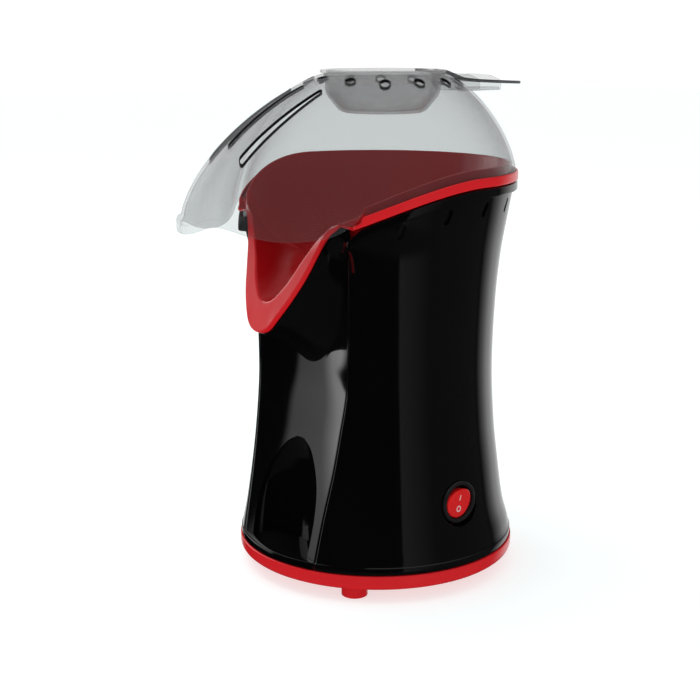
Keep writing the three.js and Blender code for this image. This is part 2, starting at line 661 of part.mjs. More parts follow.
// ---------------------------------------------------------------- measuring cup
function measuringCup() {
  const wall = 1.4;
  const bottom = CUP_TOP - CUP_DEPTH;
  const profile = [
    [0, bottom], [22, bottom], [25.2, bottom + 1.6], [CUP_RADIUS - 0.6, bottom + 10.5],
    [CUP_RADIUS, CUP_TOP - 1.7], [35.4, CUP_TOP - 1.7], [35.9, CUP_TOP - 0.7], [35.2, CUP_TOP],
    [32.6, CUP_TOP], [CUP_RADIUS - wall, CUP_TOP - 1], [CUP_RADIUS - 0.6 - wall, bottom + 11],
    [24.4, bottom + 2.9], [21.6, bottom + wall], [0, bottom + wall],
  ];
  const bowl = solid(turned(profile, 30, 0, LID_CENTRE_Y));
  const centres = through([
    [35, 286.9, 9], [44, 286.4, 8.6], [52, 284.2, 8], [62, 281.4, 7.6], [90, 279.4, 7],
    [106, 278.7, 6.2], [HANDLE_END_Y, 278.4, 2.2],
  ]); // blade of the handle: y to the height of its middle and its half width
  const blade = solid(skin([36.5, 44, 50, 56, 62, 75, 90, 100, 106, 109.5, HANDLE_END_Y].map((y) => {
    const [z, half] = centres(y);
    return [[-half, y, z - 0.9], [half, y, z - 0.9], [half, y, z + 0.9], [half - 1, y, z + 0.9],
      [half - 1.4, y, z + 0.3], [1.4 - half, y, z + 0.3], [1 - half, y, z + 0.9], [-half, y, z + 0.9]];
  }), 'fan'));
  return geometryOf(bowl.add(blade));
}

// ---------------------------------------------------------------- switch
const sideways = (geometry) => geometry.rotateY(Math.PI / 2).translate(0, 0, SWITCH_Z);

function switchHousing() {
  const profile = [
    [0, 55], [10.4, 55], [10.4, SWITCH_FACE_X - 0.4], [10.4, SWITCH_FACE_X + GAP],
    [12.2, SWITCH_FACE_X + GAP], [12, SWITCH_FACE_X + 1.3], [11.2, SWITCH_FACE_X + 1.7],
    [9.8, SWITCH_FACE_X + 1.2], [9.6, 57], [0, 57],
  ];
  const slots = TERMINAL_Y.map((y) =>
    solid(block([53, y - 0.7, SWITCH_Z - 3.5], [59, y + 0.7, SWITCH_Z + 3.5])));
  return geometryOf(without(solid(sideways(turned(profile, 32))), slots));
}

function switchRocker() {
  const half = new THREE.Shape();
  half.moveTo(-4, -6);
  half.quadraticCurveTo(-2, -8.6, 0, -8.9);
  half.lineTo(3.6, -8.2);
  half.quadraticCurveTo(2.4, 0, 3.6, 8.2);
  half.lineTo(0, 8.9);
  half.quadraticCurveTo(-2, 8.6, -4, 6);
  const bar = new THREE.ExtrudeGeometry(half, { depth: 18, bevelEnabled: false, curveSegments: 6 });
  const disc = rod(8.9, -6, 6, 28).rotateY(Math.PI / 2);
  return geometryOf(solid(bar.rotateX(Math.PI / 2).translate(0, 9, 0)).intersect(solid(disc)));
}

const switchTerminal = (y) => block([47.6, y - 0.4, SWITCH_Z - 3.1], [56.6, y + 0.4, SWITCH_Z + 3.1]);

// ---------------------------------------------------------------- chamber and heater
function poppingChamber() {
  const wall = 1;
  const top = MOUTH_Z - WALL - GAP;
  const radius = CHAMBER_RADIUS;
  const cup = solid(turned([
    [0, CHAMBER_BOTTOM + 4], [14, CHAMBER_BOTTOM + 2.6], [26, CHAMBER_BOTTOM], [radius - 4, CHAMBER_BOTTOM],
    [radius, CHAMBER_BOTTOM + 4], [radius, top - wall], [47, top - wall], [47, top],
    [radius - wall, top], [radius - wall, CHAMBER_BOTTOM + 4.6], [radius - 4.6, CHAMBER_BOTTOM + wall],
    [26, CHAMBER_BOTTOM + wall], [14, CHAMBER_BOTTOM + 3.6], [0, CHAMBER_BOTTOM + 5],
  ], 30, 0, INNER_Y));
  const louvres = range(LOUVRES).map((k) => {
    const slot = block([-1, 36, CHAMBER_BOTTOM + 6], [1, 44, CHAMBER_BOTTOM + 16]);
    slot.rotateZ((2 * Math.PI * k) / LOUVRES);
    return solid(slot.translate(0, INNER_Y, 0));
  });
  const holes = POST_BEARINGS.map((bearing) =>
    solid(rod(1.8, top - 5, top + 5, 8, ...ringScrewPlace(bearing))));
  return geometryOf(without(cup, [...louvres, ...holes]));
}

function chamberRing() {
  const top = MOUTH_Z - WALL - 2 * GAP - 1;
  const holes = POST_BEARINGS.map((bearing) =>
    solid(rod(1.8, top - 5, top + 5, 8, ...ringScrewPlace(bearing))));
  return geometryOf(without(solid(ring(CHAMBER_RADIUS + GAP, 48, top - 2, top, 40, 0, INNER_Y)), holes));
}

const heatShield = () =>
  ring(SHIELD_RADIUS - 0.8, SHIELD_RADIUS, FAN_DUCT_TOP + 2 * GAP + 2, 174, 32, 0, INNER_Y);
const insulatorRing = () => ring(30, 50, FAN_DUCT_TOP + GAP, FAN_DUCT_TOP + GAP + 2, 36, 0, INNER_Y);

// One of two interlocking mica plates, slotted half way so that they cross.
function heaterPlate(bearing, slotAtTop) {
  const [bottom, top] = [FAN_DUCT_TOP + 2 * GAP + 2, 92];
  const middle = (bottom + top) / 2;
  const plate = solid(block([-33, -0.5, bottom], [33, 0.5, top]));
  const slot = slotAtTop ? [middle - GAP / 2, top + 1] : [bottom - 1, middle + GAP / 2];
  const cut = plate.subtract(solid(block([-0.8, -2, slot[0]], [0.8, 2, slot[1]])));
  return geometryOf(cut).rotateZ(radians(bearing)).translate(0, INNER_Y, 0);
}

function heaterCoil() {
  const turns = 3;
  const perTurn = 14;
  const points = range(turns * perTurn + 1).map((k) => {
    const angle = (2 * Math.PI * k) / perTurn;
    return [35.2 * Math.cos(angle), INNER_Y + 35.2 * Math.sin(angle), 79 + (4 * k) / perTurn];
  });
  return wire(points, 1.1, turns * 20, 5);
}

// ---------------------------------------------------------------- blower
function fanDuct() {
  const inside = FAN_DUCT_RADIUS - 2;
  const tube = solid(ring(inside, FAN_DUCT_RADIUS, FAN_DUCT_BOTTOM, FAN_DUCT_TOP, 36, 0, INNER_Y));
  const seat = solid(ring(5.6, MOTOR_RADIUS + 2, MOTOR_TOP + GAP, MOTOR_TOP + GAP + 2.2, 24, 0, INNER_Y));
  const arms = POST_BEARINGS.map((bearing) => {
    const arm = block([MOTOR_RADIUS, -3, MOTOR_TOP + GAP], [FAN_DUCT_RADIUS - 1, 3, MOTOR_TOP + GAP + 2.2]);
    return solid(arm.rotateZ(radians(bearing + 60)).translate(0, INNER_Y, 0));
  });
  const lugs = POST_BEARINGS.map((bearing) => {
    const [x, y] = postPlace(bearing);
    const tab = block([FAN_DUCT_RADIUS - 1, -4.5, FAN_DUCT_BOTTOM], [48, 4.5, FAN_DUCT_BOTTOM + 3]);
    const eye = solid(rod(4.5, FAN_DUCT_BOTTOM, FAN_DUCT_BOTTOM + 3, 12, x, y));
    return solid(tab.rotateZ(radians(bearing)).translate(0, INNER_Y, 0)).add(eye);
  });
  const lugHoles = POST_BEARINGS.map((bearing) => solid(rod(1.9, 30, 45, 8, ...postPlace(bearing))));
  const seatHoles = MOTOR_SCREW_X.map((x) => solid(rod(1.5, 48, 56, 8, x, INNER_Y)));
  return geometryOf(without(joined([tube, seat, ...arms, ...lugs]), [...lugHoles, ...seatHoles]));
}

function motorBody() {
  const can = turned([
    [1.5, 19], [4, 19], [4, 21], [MOTOR_RADIUS - 1, 21], [MOTOR_RADIUS, 22], [MOTOR_RADIUS, MOTOR_TOP - 1],
    [MOTOR_RADIUS - 1, MOTOR_TOP], [5, MOTOR_TOP], [5, MOTOR_TOP + 2], [1.5, MOTOR_TOP + 2], [1.5, 19],
  ], 28, 0, INNER_Y);
  const pilots = MOTOR_SCREW_X.map((x) => solid(rod(1.4, MOTOR_TOP - 5, MOTOR_TOP + 2, 8, x, INNER_Y)));
  return geometryOf(without(solid(can), pilots));
}

const motorShaft = () => rod(1.2, 17.5, 71, 10, 0, INNER_Y);

function fanImpeller() {
  const [bottom, top] = [57, 70];
  const hub = solid(turned([[1.5, bottom], [8, bottom], [8.6, bottom + 1], [8.6, top - 2], [7, top],
    [1.5, top], [1.5, bottom]], 24));
  const blades = range(7).map((k) => {
    const rows = [7.5, 14, 21, 28, FAN_RADIUS].map((radius) => {
      const pitch = radians(52 - 0.7 * radius);
      const chord = 7 + 0.12 * radius;
      const [dy, dz] = [chord * Math.cos(pitch), chord * Math.sin(pitch)];
      const middle = (bottom + top) / 2;
      return [[radius, -dy, middle - dz], [radius, -dy + 1.1, middle - dz],
        [radius, dy + 1.1, middle + dz], [radius, dy, middle + dz]];
    });
    return solid(skin(rows, 'fan').rotateZ((2 * Math.PI * k) / 7));
  });
  return geometryOf(joined([hub, ...blades])).translate(0, INNER_Y, 0);
}

// ---------------------------------------------------------------- electrical pieces
const rectifierBoard = () => geometryOf(
  solid(rod(12.5, 14.6, 16.2, 24, 0, INNER_Y)).subtract(solid(rod(1.6, 10, 20, 8, 0, INNER_Y))));
const diode = (x, y) => rod(1.4, -3, 3, 10).rotateX(Math.PI / 2).translate(x, INNER_Y + y, 12.8);
const thermostat = () => geometryOf(
  solid(rod(8, 0, 5, 20)).add(solid(block([-12, -4, 0], [12, 4, 1.6])))
).rotateX(-Math.PI / 2).translate(0, INNER_Y + SHIELD_RADIUS + GAP, 122);
const thermalFuse = () => turned([[0, 96], [0.7, 96], [0.7, 101], [2.3, 102.5], [2.3, 112.5], [0.7, 114],
  [0.7, 119], [0, 119]], 12, -45.5, 33);

function cordGland() {
  const face = GLAND_FACE_Y + GAP;
  const profile = [[3.6, 68], [5.7, 68], [5.7, face], [7.3, face], [7, face + 1.6], [5.6, face + 2.2],
    [3.6, face + 2.2], [3.6, 68]];
  return turned(profile, 18).rotateX(-Math.PI / 2).translate(0, 0, GLAND_Z);
}

const LEADS = {
  lead_inlet_to_switch: [[3, 66, 34], [22, 60, 29], [40, 46, 25], [52, 28, 28], [51, 14, 38], [47.5, 6.5, 46],
    [45.9, 4, 50.9]],
  lead_inlet_to_heater: [[-3, 66, 34], [-14, 60, 42], [-22, 54, 62], [-30, 50, 90], [-38, 42.5, 106]],
  lead_switch_to_motor: [[45.9, -4, 50.9], [47.5, -7, 46], [51, -15, 38], [50, -20, 26], [38, -14, 19],
    [15, 3, 15.2]],
};

// ---------------------------------------------------------------- fasteners
function screw(shankRadius, headRadius, headHeight, length) {
  const recess = 0.35 * headRadius;
  return turned([
    [0, -length], [shankRadius, 1.6 - length], [shankRadius, 0], [headRadius, 0],
    [headRadius, headHeight * 0.6], [headRadius * 0.8, headHeight], [recess, headHeight],
    [0, headHeight * 0.45],
  ], 8);
}

// ---------------------------------------------------------------- assembly
const model = new THREE.Group();
model.position.y = AXIS_Y;

function place(name, geometry, material, parent = model) {
  const mesh = new THREE.Mesh(geometry, material);
  mesh.name = name;
  parent.add(mesh);
  return mesh;
}

place('base_plate', basePlate(), RED_GLOSS);
place('rear_housing', rearHousing(), BLACK_GLOSS);
place('front_panel', frontPanel(), BLACK_GLOSS);
place('funnel_chute', funnelChute(), RED_GLOSS);
place('lid_cover', lidCover(), CLEAR_SMOKE);
place('measuring_cup', measuringCup(), CUP_SMOKE);

place('switch_housing', switchHousing(), BLACK_PLASTIC);
const rocker = place('switch_rocker', switchRocker(), RED_LENS);
rocker.position.set(ROCKER_PIVOT_X, 0, SWITCH_Z);
rocker.rotation.y = radians(ROCKER_TILT);
place('switch_terminal_front', switchTerminal(TERMINAL_Y[0]), BRASS);
place('switch_terminal_rear', switchTerminal(TERMINAL_Y[1]), BRASS);

place('popping_chamber', poppingChamber(), ALUMINIUM);
place('chamber_ring', chamberRing(), STEEL);
place('heat_shield', heatShield(), STEEL);
place('insulator_ring', insulatorRing(), MICA);
place('heater_plate_a', heaterPlate(45, true), MICA);
place('heater_plate_b', heaterPlate(135, false), MICA);
place('heater_coil', heaterCoil(), NICHROME);

place('fan_duct', fanDuct(), BLACK_PLASTIC);
place('fan_impeller', fanImpeller(), BLACK_PLASTIC);
place('motor_body', motorBody(), STEEL);
place('motor_shaft', motorShaft(), STEEL);
place('rectifier_board', rectifierBoard(), BOARD);
[[-6, -5], [6, -5], [-6, 5], [6, 5]].forEach(([x, y], k) => {
  place(`diode_${k + 1}`, diode(x, y), BLACK_PLASTIC);
});
place('thermostat', thermostat(), STEEL);
place('thermal_fuse', thermalFuse(), ALUMINIUM);
place('cord_gland', cordGland(), RUBBER);
Object.entries(LEADS).forEach(([name, points]) => place(name, wire(points, 1.3, 22), RUBBER));

FEET.forEach(([x, y], k) => {
  const mesh = place(`base_screw_${k + 1}`, screw(1.6, 3.4, 2, 18), STEEL);
  mesh.position.set(x, y, 6.2 - GAP);
  mesh.rotation.x = Math.PI;
});
POST_BEARINGS.forEach((bearing, k) => {
  const ductScrew = place(`duct_screw_${k + 1}`, screw(1.3, 3, 1.8, 14), STEEL);
  ductScrew.position.set(...postPlace(bearing), FAN_DUCT_BOTTOM + 3 + GAP);
  const ringScrew = place(`ring_screw_${k + 1}`, screw(1, 2.2, 1.5, 5.5), STEEL);
  ringScrew.position.set(...ringScrewPlace(bearing), MOUTH_Z - WALL - 3 * GAP - 3);
  ringScrew.rotation.x = Math.PI;
});
MOTOR_SCREW_X.forEach((x, k) => {
  const mesh = place(`motor_screw_${k + 1}`, screw(1.1, 2.4, 1.4, 5), STEEL);
  mesh.position.set(x, INNER_Y, MOTOR_TOP + 2 * GAP + 2.2);
});

export default model;
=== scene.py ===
"""Looks of a hot-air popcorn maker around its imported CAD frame: fine shells, materials, studio."""

import math
from bisect import bisect_right

import bmesh
import bpy
import numpy as np
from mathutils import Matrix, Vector
from mathutils.bvhtree import BVHTree


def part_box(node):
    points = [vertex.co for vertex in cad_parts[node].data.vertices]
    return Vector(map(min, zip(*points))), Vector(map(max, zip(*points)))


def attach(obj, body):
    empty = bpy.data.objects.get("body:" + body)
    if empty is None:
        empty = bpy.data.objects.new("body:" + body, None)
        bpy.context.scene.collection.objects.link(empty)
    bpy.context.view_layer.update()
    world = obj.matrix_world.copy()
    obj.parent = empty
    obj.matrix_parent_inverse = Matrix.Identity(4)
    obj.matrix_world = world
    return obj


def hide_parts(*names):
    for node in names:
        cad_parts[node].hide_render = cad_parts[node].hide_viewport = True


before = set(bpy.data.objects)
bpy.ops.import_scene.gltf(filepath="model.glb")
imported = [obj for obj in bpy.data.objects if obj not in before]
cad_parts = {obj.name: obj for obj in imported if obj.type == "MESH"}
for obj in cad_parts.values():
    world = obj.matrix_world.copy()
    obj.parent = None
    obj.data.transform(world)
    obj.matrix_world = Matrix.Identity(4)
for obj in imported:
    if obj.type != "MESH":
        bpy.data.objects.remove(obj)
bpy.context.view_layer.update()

# -------- driving dimensions, millimetres
MM = 0.001


def box_mm(node):
    """Lowest and highest corner of a CAD node, in millimetres."""
    low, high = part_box(node)
    return np.array(low) / MM, np.array(high) / MM


BASE_LOW, BASE_HIGH = box_mm("base_plate")
AXIS_Y = (BASE_LOW[1] + BASE_HIGH[1]) / 2  # the body's own axis, behind the middle of the length
BASE_RADIUS = (BASE_HIGH[0] - BASE_LOW[0]) / 2
CUP_TOP = box_mm("measuring_cup")[1][2]
HANDLE_END_Y = box_mm("measuring_cup")[1][1] - AXIS_Y

GAP = 0.3
WALL = 2.5
BASE_BOTTOM = 7
BASE_TOP = 16
BAND_TOP = 20.6  # plain band round the housing's foot
BAND_DIP = -7.6  # the band bulges with the base at the front
INNER_Y = 5

RIM_RADIUS = 80.2
RIM_BAND = 5
COLLAR_TOP = 232.5
COLLAR_BEND_Y = 10
COLLAR_DIP = 0.004
COLLAR_BAND = 5.3
COLLAR_START = -45
VENT_DROP = 17.8
VENT_PITCH = 20
VENT_COUNT = 13
VENT_RADIUS = 74

MOUTH_RADIUS = 41.5
MOUTH_LEDGE = 48
MOUTH_Z = 184
LIP_NORMAL = np.array([0, -0.932, 0.363])
FLANGE = 3.4

LID_OUTER = 79.1
LID_WALL = 1.7
LID_TOP = 285.6
LID_HOLE = 33.8
LID_CENTRE_Y = 4
LID_EXPONENT = 1.5
LID_FLANK = 4
SKIRT_LIP = 4.5
STEAM_HOLES = 14
STEAM_RING = 43
STEAM_RADIUS = 3.1

CUP_RADIUS = 33.2
CUP_DEPTH = 24

SWITCH_Z = 51
SWITCH_FACE_X = 72.2
ROCKER_PIVOT_X = 70.6
ROCKER_TILT = 10
ROCKER_RADIUS = 8.8
GLAND_Z = 34
GLAND_FACE_Y = 77.8

# -------- number helpers


def through(rows):
    """Smooth function through rows of (key, value, ...), as an array of values."""
    rows = np.array(rows, float)
    last = len(rows) - 1
    before = rows[np.maximum(np.arange(last + 1) - 1, 0)]
    after = rows[np.minimum(np.arange(last + 1) + 1, last)]
    slopes = (after - before) / (after[:, :1] - before[:, :1])
    keys = list(rows[:, 0])

    def value(key):
        i = min(max(bisect_right(keys, key) - 1, 0), last - 1)
        span = keys[i + 1] - keys[i]
        t = min(max((key - keys[i]) / span, 0), 1)
        return (
            (2 * t**3 - 3 * t * t + 1) * rows[i, 1:]
            + (t**3 - 2 * t * t + t) * span * slopes[i, 1:]
            + (3 * t * t - 2 * t**3) * rows[i + 1, 1:]
            + (t**3 - t * t) * span * slopes[i + 1, 1:]
        )

    return value


def symmetric(points):
    """Smooth curve through points of the half x >= 0, keyed 0, 1, 2..., level across the plane x = 0."""
    mirror = [-1 if k == 0 else 1 for k in range(len(points[0]))]
    first = [a * b for a, b in zip(points[1], mirror)]
    return through([[-1, *first], *([k, *p] for k, p in enumerate(points))])


def mix(a, b, t):
    return np.asarray(a, float) * (1 - t) + np.asarray(b, float) * t


def smoothstep(value, low, high):
    t = min(max((value - low) / (high - low), 0), 1)
    return t * t * (3 - 2 * t)


def spread(low, high, count):
    return list(np.linspace(low, high, count))


# -------- mesh helpers


def new_object(name, vertices, faces, material=None, smooth=35):
    """Mesh object from points in millimetres about the body axis, shaded smooth below an angle."""
    points = np.array(vertices, float)
    points[:, 1] += AXIS_Y
    mesh = bpy.data.meshes.new(name)
    mesh.from_pydata((points * MM).tolist(), [], faces)
    shell = bmesh.new()
    shell.from_mesh(mesh)
    bmesh.ops.remove_doubles(shell, verts=shell.verts, dist=2e-6)
    bmesh.ops.recalc_face_normals(shell, faces=shell.faces)
    if shell.calc_volume(signed=True) < 0:
        bmesh.ops.reverse_faces(shell, faces=shell.faces)
    shell.to_mesh(mesh)
    shell.free()
    obj = bpy.data.objects.new(name, mesh)
    bpy.context.scene.collection.objects.link(obj)
    if material:
        mesh.materials.append(material)
    shade(obj, smooth)
    return obj


def shade(obj, smooth=35):
    obj.data.shade_smooth()
    obj.data.set_sharp_from_angle(angle=math.radians(smooth))


def loft(rows, ends="open", closed=True):
    """Vertices and faces of a skin over rows of points. ends: 'join' closes the rows into a ring,
    'strip' caps a hollow section whose halves face each other, 'fan' caps a full one."""
    rows = [np.array(row, float) for row in rows]
    width = len(rows[0])
    vertices = np.concatenate(rows).tolist()
    faces = []
    row_pairs = len(rows) if ends == "join" else len(rows) - 1
    steps = width if closed else width - 1
    for i in range(row_pairs):
        a, d = i * width, ((i + 1) % len(rows)) * width
        for j in range(steps):
            k = (j + 1) % width
            faces.append([a + j, a + k, d + k, d + j])
    for start in (0, (len(rows) - 1) * width):
        if ends == "strip":
            for j in range(width // 2 - 1):
                faces.append([start + j, start + j + 1, start + width - 2 - j, start + width - 1 - j])
        if ends == "fan":
            faces.append([start + j for j in range(width)])
    return vertices, faces


def rounded(loop, cuts, steps=4, closed=True):
    """The loop with its corners rounded: cuts holds how far from each corner its curve starts."""
    loop = [np.array(p, float) for p in loop]
    count = len(loop)
    points = []
    for k, corner in enumerate(loop):
        cut = cuts[k]
        if not cut or (not closed and k in (0, count - 1)):
            points.append(corner)
            continue
        before, after = loop[k - 1] - corner, loop[(k + 1) % count] - corner
        start = corner + before * min(cut / max(np.linalg.norm(before), 1e-9), 0.45)
        end = corner + after * min(cut / max(np.linalg.norm(after), 1e-9), 0.45)
        for s in range(steps + 1):
            t = s / steps
            points.append((1 - t) ** 2 * start + 2 * t * (1 - t) * corner + t * t * end)
    return points


def full_turn(count):
    """Cosine and sine of evenly spread angles round a full turn."""
    angles = [2 * math.pi * k / count for k in range(count)]
    return [(math.cos(angle), math.sin(angle)) for angle in angles]


def around(curve, segments, x, y):
    """Copies of a curve of the plane y = 0, turned about the vertical axis at (x, y)."""
    return [[(x + p[0] * c, y + p[0] * s, p[2]) for p in curve] for c, s in full_turn(segments)]


def turned(profile, cuts, segments, x=0, y=0):
    """Vertices and faces of a profile of (radius, z) turned about a vertical axis."""
    curve = rounded([(r, 0, z) for r, z in profile], cuts, closed=False)
    return loft(around(curve, segments, x, y), "join", closed=profile[0][0] > 0)


def turned_ring(profile, cuts, x, y):
    """Vertices and faces of a closed profile turned into a ring about a vertical axis."""
    curve = rounded([(r, 0, z) for r, z in profile], cuts)
    return loft(around(curve, 40, x, y), "join")


def capsule_outline(width, length, steps=8):
    """Outline of a slot with round ends along Y, about the origin."""
    radius, reach = width / 2, length / 2 - width / 2
    ends = []
    for centre, start in ((reach, 0), (-reach, math.pi)):
        for k in range(steps + 1):
            angle = start + math.pi * k / steps
            ends.append((radius * math.cos(angle), centre + radius * math.sin(angle)))
    return ends


def circle_outline(radius, steps=28):
    return [(radius * c, radius * s) for c, s in full_turn(steps)]


def baked(obj):
    """Applies the object's modifiers."""
    graph = bpy.context.evaluated_depsgraph_get()
    mesh = bpy.data.meshes.new_from_object(obj.evaluated_get(graph))
    mesh.validate()
    obj.modifiers.clear()
    obj.data = mesh
    return obj


def combine(obj, others, operation="DIFFERENCE", crossing=False):
    """Cuts or joins obj with the other objects, which are used up. crossing: they cross themselves."""
    for other in others:
        step = obj.modifiers.new("combine", "BOOLEAN")
        step.operation = operation
        step.solver = "EXACT"
        step.object = other
        step.use_self = crossing
        baked(obj)
        bpy.data.objects.remove(other)
    return obj


def joined_mesh(name, parts, material=None):
    """One object from several (vertices, faces) parts."""
    vertices, faces = [], []
    for part_vertices, part_faces in parts:
        offset = len(vertices)
        vertices.extend(part_vertices)
        faces.extend([[offset + v for v in face] for face in part_faces])
    return new_object(name, vertices, faces, material)


# -------- outer form, as in the CAD source


def collar_top(y):
    return COLLAR_TOP - COLLAR_DIP * min(y - COLLAR_BEND_Y, 0) ** 2


def housing_top(y):
    return collar_top(y) - COLLAR_BAND - 2 * GAP


body_radius = through([
    (16, 81), (26, 79.2), (35, 76.6), (45, 74.8), (60, 72.8), (85, 69.9),
    (119, 68.1), (157, 69.1), (185, 71.5), (208, 75.2), (235, 80),
])
crease = through([
    (16, 34.3, -73.4), (22, 34.6, -72.5), (46, 35.7, -67.4), (70, 37.7, -62.2), (94, 39.4, -58.2),
    (113, 41, -55.7), (130, 41.7, -55.2), (152, 42.9, -55.1), (174.5, 44.3, -56.3),
    (196, 46.2, -57.8), (208, 47.6, -59.6),
])
panel_dip = through([
    (BAND_TOP, 1.5), (50, 2.4), (84, 4), (105, 4.6), (125, 6.3), (150, 7.5), (208, 6),
])


def panel_front(x, z):
    half, depth = crease(z)
    dip = BAND_DIP if z < BAND_TOP else panel_dip(z)[0]
    return depth + dip * (1 - (x / half) ** 2)


def side_wall(fraction, z, inset):
    x, y = crease(z)
    start = math.atan2(y, x)
    angle = start + fraction * (math.pi - 2 * start)
    proud = math.hypot(x, y) - body_radius(z)[0]
    off_edge = min(angle - start, math.pi - start - angle)
    radius = body_radius(z)[0] + proud * math.exp(-((off_edge / 0.22) ** 2)) - inset
    return polar(radius, math.degrees(angle), z)


def polar(radius, degrees, z, y=0.0):
    angle = math.radians(degrees)
    return np.array([radius * math.cos(angle), y + radius * math.sin(angle), z])


# -------- funnel, collar and chute lip
LIP = [  # half of the lip from its tip upwards: bearing at the mouth, inner edge, outer edge
    (-90, 0, -80.4, 164.6, 0, -86, 148.3),
    (-82, 5.5, -79.8, 166.2, 7.5, -85.3, 150.5),
    (-74, 10, -77.8, 170.6, 13, -83.4, 157),
    (-66, 14.6, -75, 177, 20, -79, 168),
    (-59, 19, -71.8, 185, 26, -73.7, 180.5),
    (-53, 24, -68.8, 193, 30.6, -69.4, 192.6),
    (-48, 30, -65.5, 201.5, 35.5, -66, 203.5),
    (-44, 36.4, -62.3, 208, 42.8, -62, 209.6),
]
SPREAD_OUT = 1.6  # how far the bowl's underside stands out from its inside
lip_spread_out = through([*((k, SPREAD_OUT) for k in range(5)), (5, 1.2), (6, 0.6), (7, 0.2)])
lip_curve = through([
    [-1, -98, -5.5, *LIP[1][2:4], -7.5, *LIP[1][5:]],
    *([k, *row] for k, row in enumerate(LIP)),
])
BOWL_STEPS = 12
BOWL_SAG = 6


def collar_point(radius, degrees, lift):
    height = collar_top(RIM_RADIUS * math.sin(math.radians(degrees))) + lift
    return polar(radius, degrees, height)


def funnel_section(bearing, corners, cuts, spread_out=SPREAD_OUT):
    """Closed section from the mouth up the bowl, over the rim's corners and back below."""
    ledge = polar(MOUTH_LEDGE, bearing, MOUTH_Z, INNER_Y)
    inner = corners[0]
    sag = [np.array([0, 0, -BOWL_SAG * math.sin(math.pi * k / BOWL_STEPS)]) for k in range(1, BOWL_STEPS)]
    bowl = [mix(ledge, inner, (k + 1) / BOWL_STEPS) + drop for k, drop in enumerate(sag)]
    outwards = polar(spread_out, bearing, -WALL)
    below = [point + outwards for point in bowl]
    loop = [
        polar(MOUTH_RADIUS, bearing, MOUTH_Z, INNER_Y), ledge, *bowl, *corners, *below[::-1],
        ledge + np.array([0, 0, -WALL]), polar(MOUTH_RADIUS, bearing, MOUTH_Z - WALL, INNER_Y),
    ]
    all_cuts = [0.8, 2.0, *[0] * len(bowl), *cuts, *[0] * len(bowl), 0.8, 0.8]
    return rounded(loop, all_cuts)


def lip_section(key):
    row = lip_curve(key)
    inner, outer = row[1:4], row[4:7]
    back = -FLANGE * LIP_NORMAL
    corners = [
        inner, mix(inner, outer, 0.3), mix(inner, outer, 0.55), mix(inner, outer, 0.8),
        mix(inner, outer, 0.9), outer, outer + back, mix(inner, outer, 0.45) + back,
    ]
    return funnel_section(
        row[0], corners, [1.6, 0.3, 0.3, 0.3, 0.2, 1.1, 0.7, 0.5], lip_spread_out(key)[0]
    )


def collar_section(degrees, drop=0.0, rise=4.2, tuck=0.0, bearing=None):
    """The collar at a bearing. drop lowers its visible rim, rise is the upstand inside the lid."""
    corners = [
        collar_point(74.2, degrees, rise), collar_point(75.7, degrees, rise),
        collar_point(76.6, degrees, -2 - drop), collar_point(79.2, degrees, -2 - drop),
        collar_point(79.3 - tuck, degrees, -drop), collar_point(80.4 - tuck, degrees, -drop - 0.1),
        collar_point(80.4 - tuck, degrees, -COLLAR_BAND), collar_point(77.3, degrees, -COLLAR_BAND),
    ]
    if bearing is None:
        bearing = degrees + 4 * math.cos(math.radians(degrees))
    return funnel_section(bearing, corners, [0.6, 0.6, 0.4, 0.4, 0.4, 0.9, 0.9, 0.4])


def mirrored(section):
    return [(-x, y, z) for x, y, z in section]


def ring_of(half):
    return [*half, *(mirrored(section) for section in half[-2:0:-1])]


def funnel_rows():
    lip = [lip_section(key) for key in spread(0, 7, 57)]
    ledge_rows = [  # the thin end of the collar in front of the lid's corner
        (-49.0, 3.4, 0.3, 1.6), (-48.8, 3.2, 0.4, 0.6), (-48.4, 3.0, 0.5, 0), (-47.2, 3.0, 0.8, 0),
        (-46.2, 2.9, 1.6, 0), (-45.8, 2.5, 2.4, 0), (-45.5, 1.2, 3.2, 0), (-45.2, 0.4, 3.9, 0),
    ]
    ledge = [collar_section(*row, bearing=mix(-43.8, -42.4, k / 7)) for k, row in enumerate(ledge_rows)]
    collar = [collar_section(degrees) for degrees in spread(COLLAR_START, 90, 91)]
    return ring_of([*lip, *ledge, *collar])


SCREW_BEARINGS = (30, 150, 270)


def make_funnel(material):
    funnel = new_object("funnel_chute_fine", *loft(funnel_rows(), "join"), material, smooth=32)
    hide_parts("funnel_chute")
    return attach(funnel, "housing")


def funnel_keep_out():
    """Space over the funnel's underside, with the gap that the panel keeps to it."""
    half = [lip_section(key) for key in spread(0, 7, 29)]
    half += [collar_section(degrees) for degrees in spread(COLLAR_START, 90, 31)]
    start = len(half[0]) // 2 + 1
    rows = []
    for section in ring_of(half):
        under = []
        for x, y, z in section[start:]:
            grow = 1 + 3 * GAP / math.hypot(x, y - INNER_Y)
            under.append((x * grow, INNER_Y + (y - INNER_Y) * grow, z - 3 * GAP))
        first, last = under[0], under[-1]
        rows.append([*under, (last[0], last[1], 300), (first[0], first[1], 300)])
    return new_object("keep_out", *loft(rows, "join"))


# -------- rear housing
VENT_ANGLES = [90 + VENT_PITCH * (k - (VENT_COUNT - 1) / 2) for k in range(VENT_COUNT)]
VENT_LEAN = math.radians(-22)
EDGE_RADIUS = 1.0  # rounding where the side wall turns into the front panel
COLUMN_Z = 205  # a column's bearing is the one it has here, close under the rim


def front_end_drop(fraction):
    """How far the rim's bead dips at its front ends, beside the lip."""
    return 4.2 * math.exp(-((min(fraction, 1 - fraction) / 0.013) ** 2))


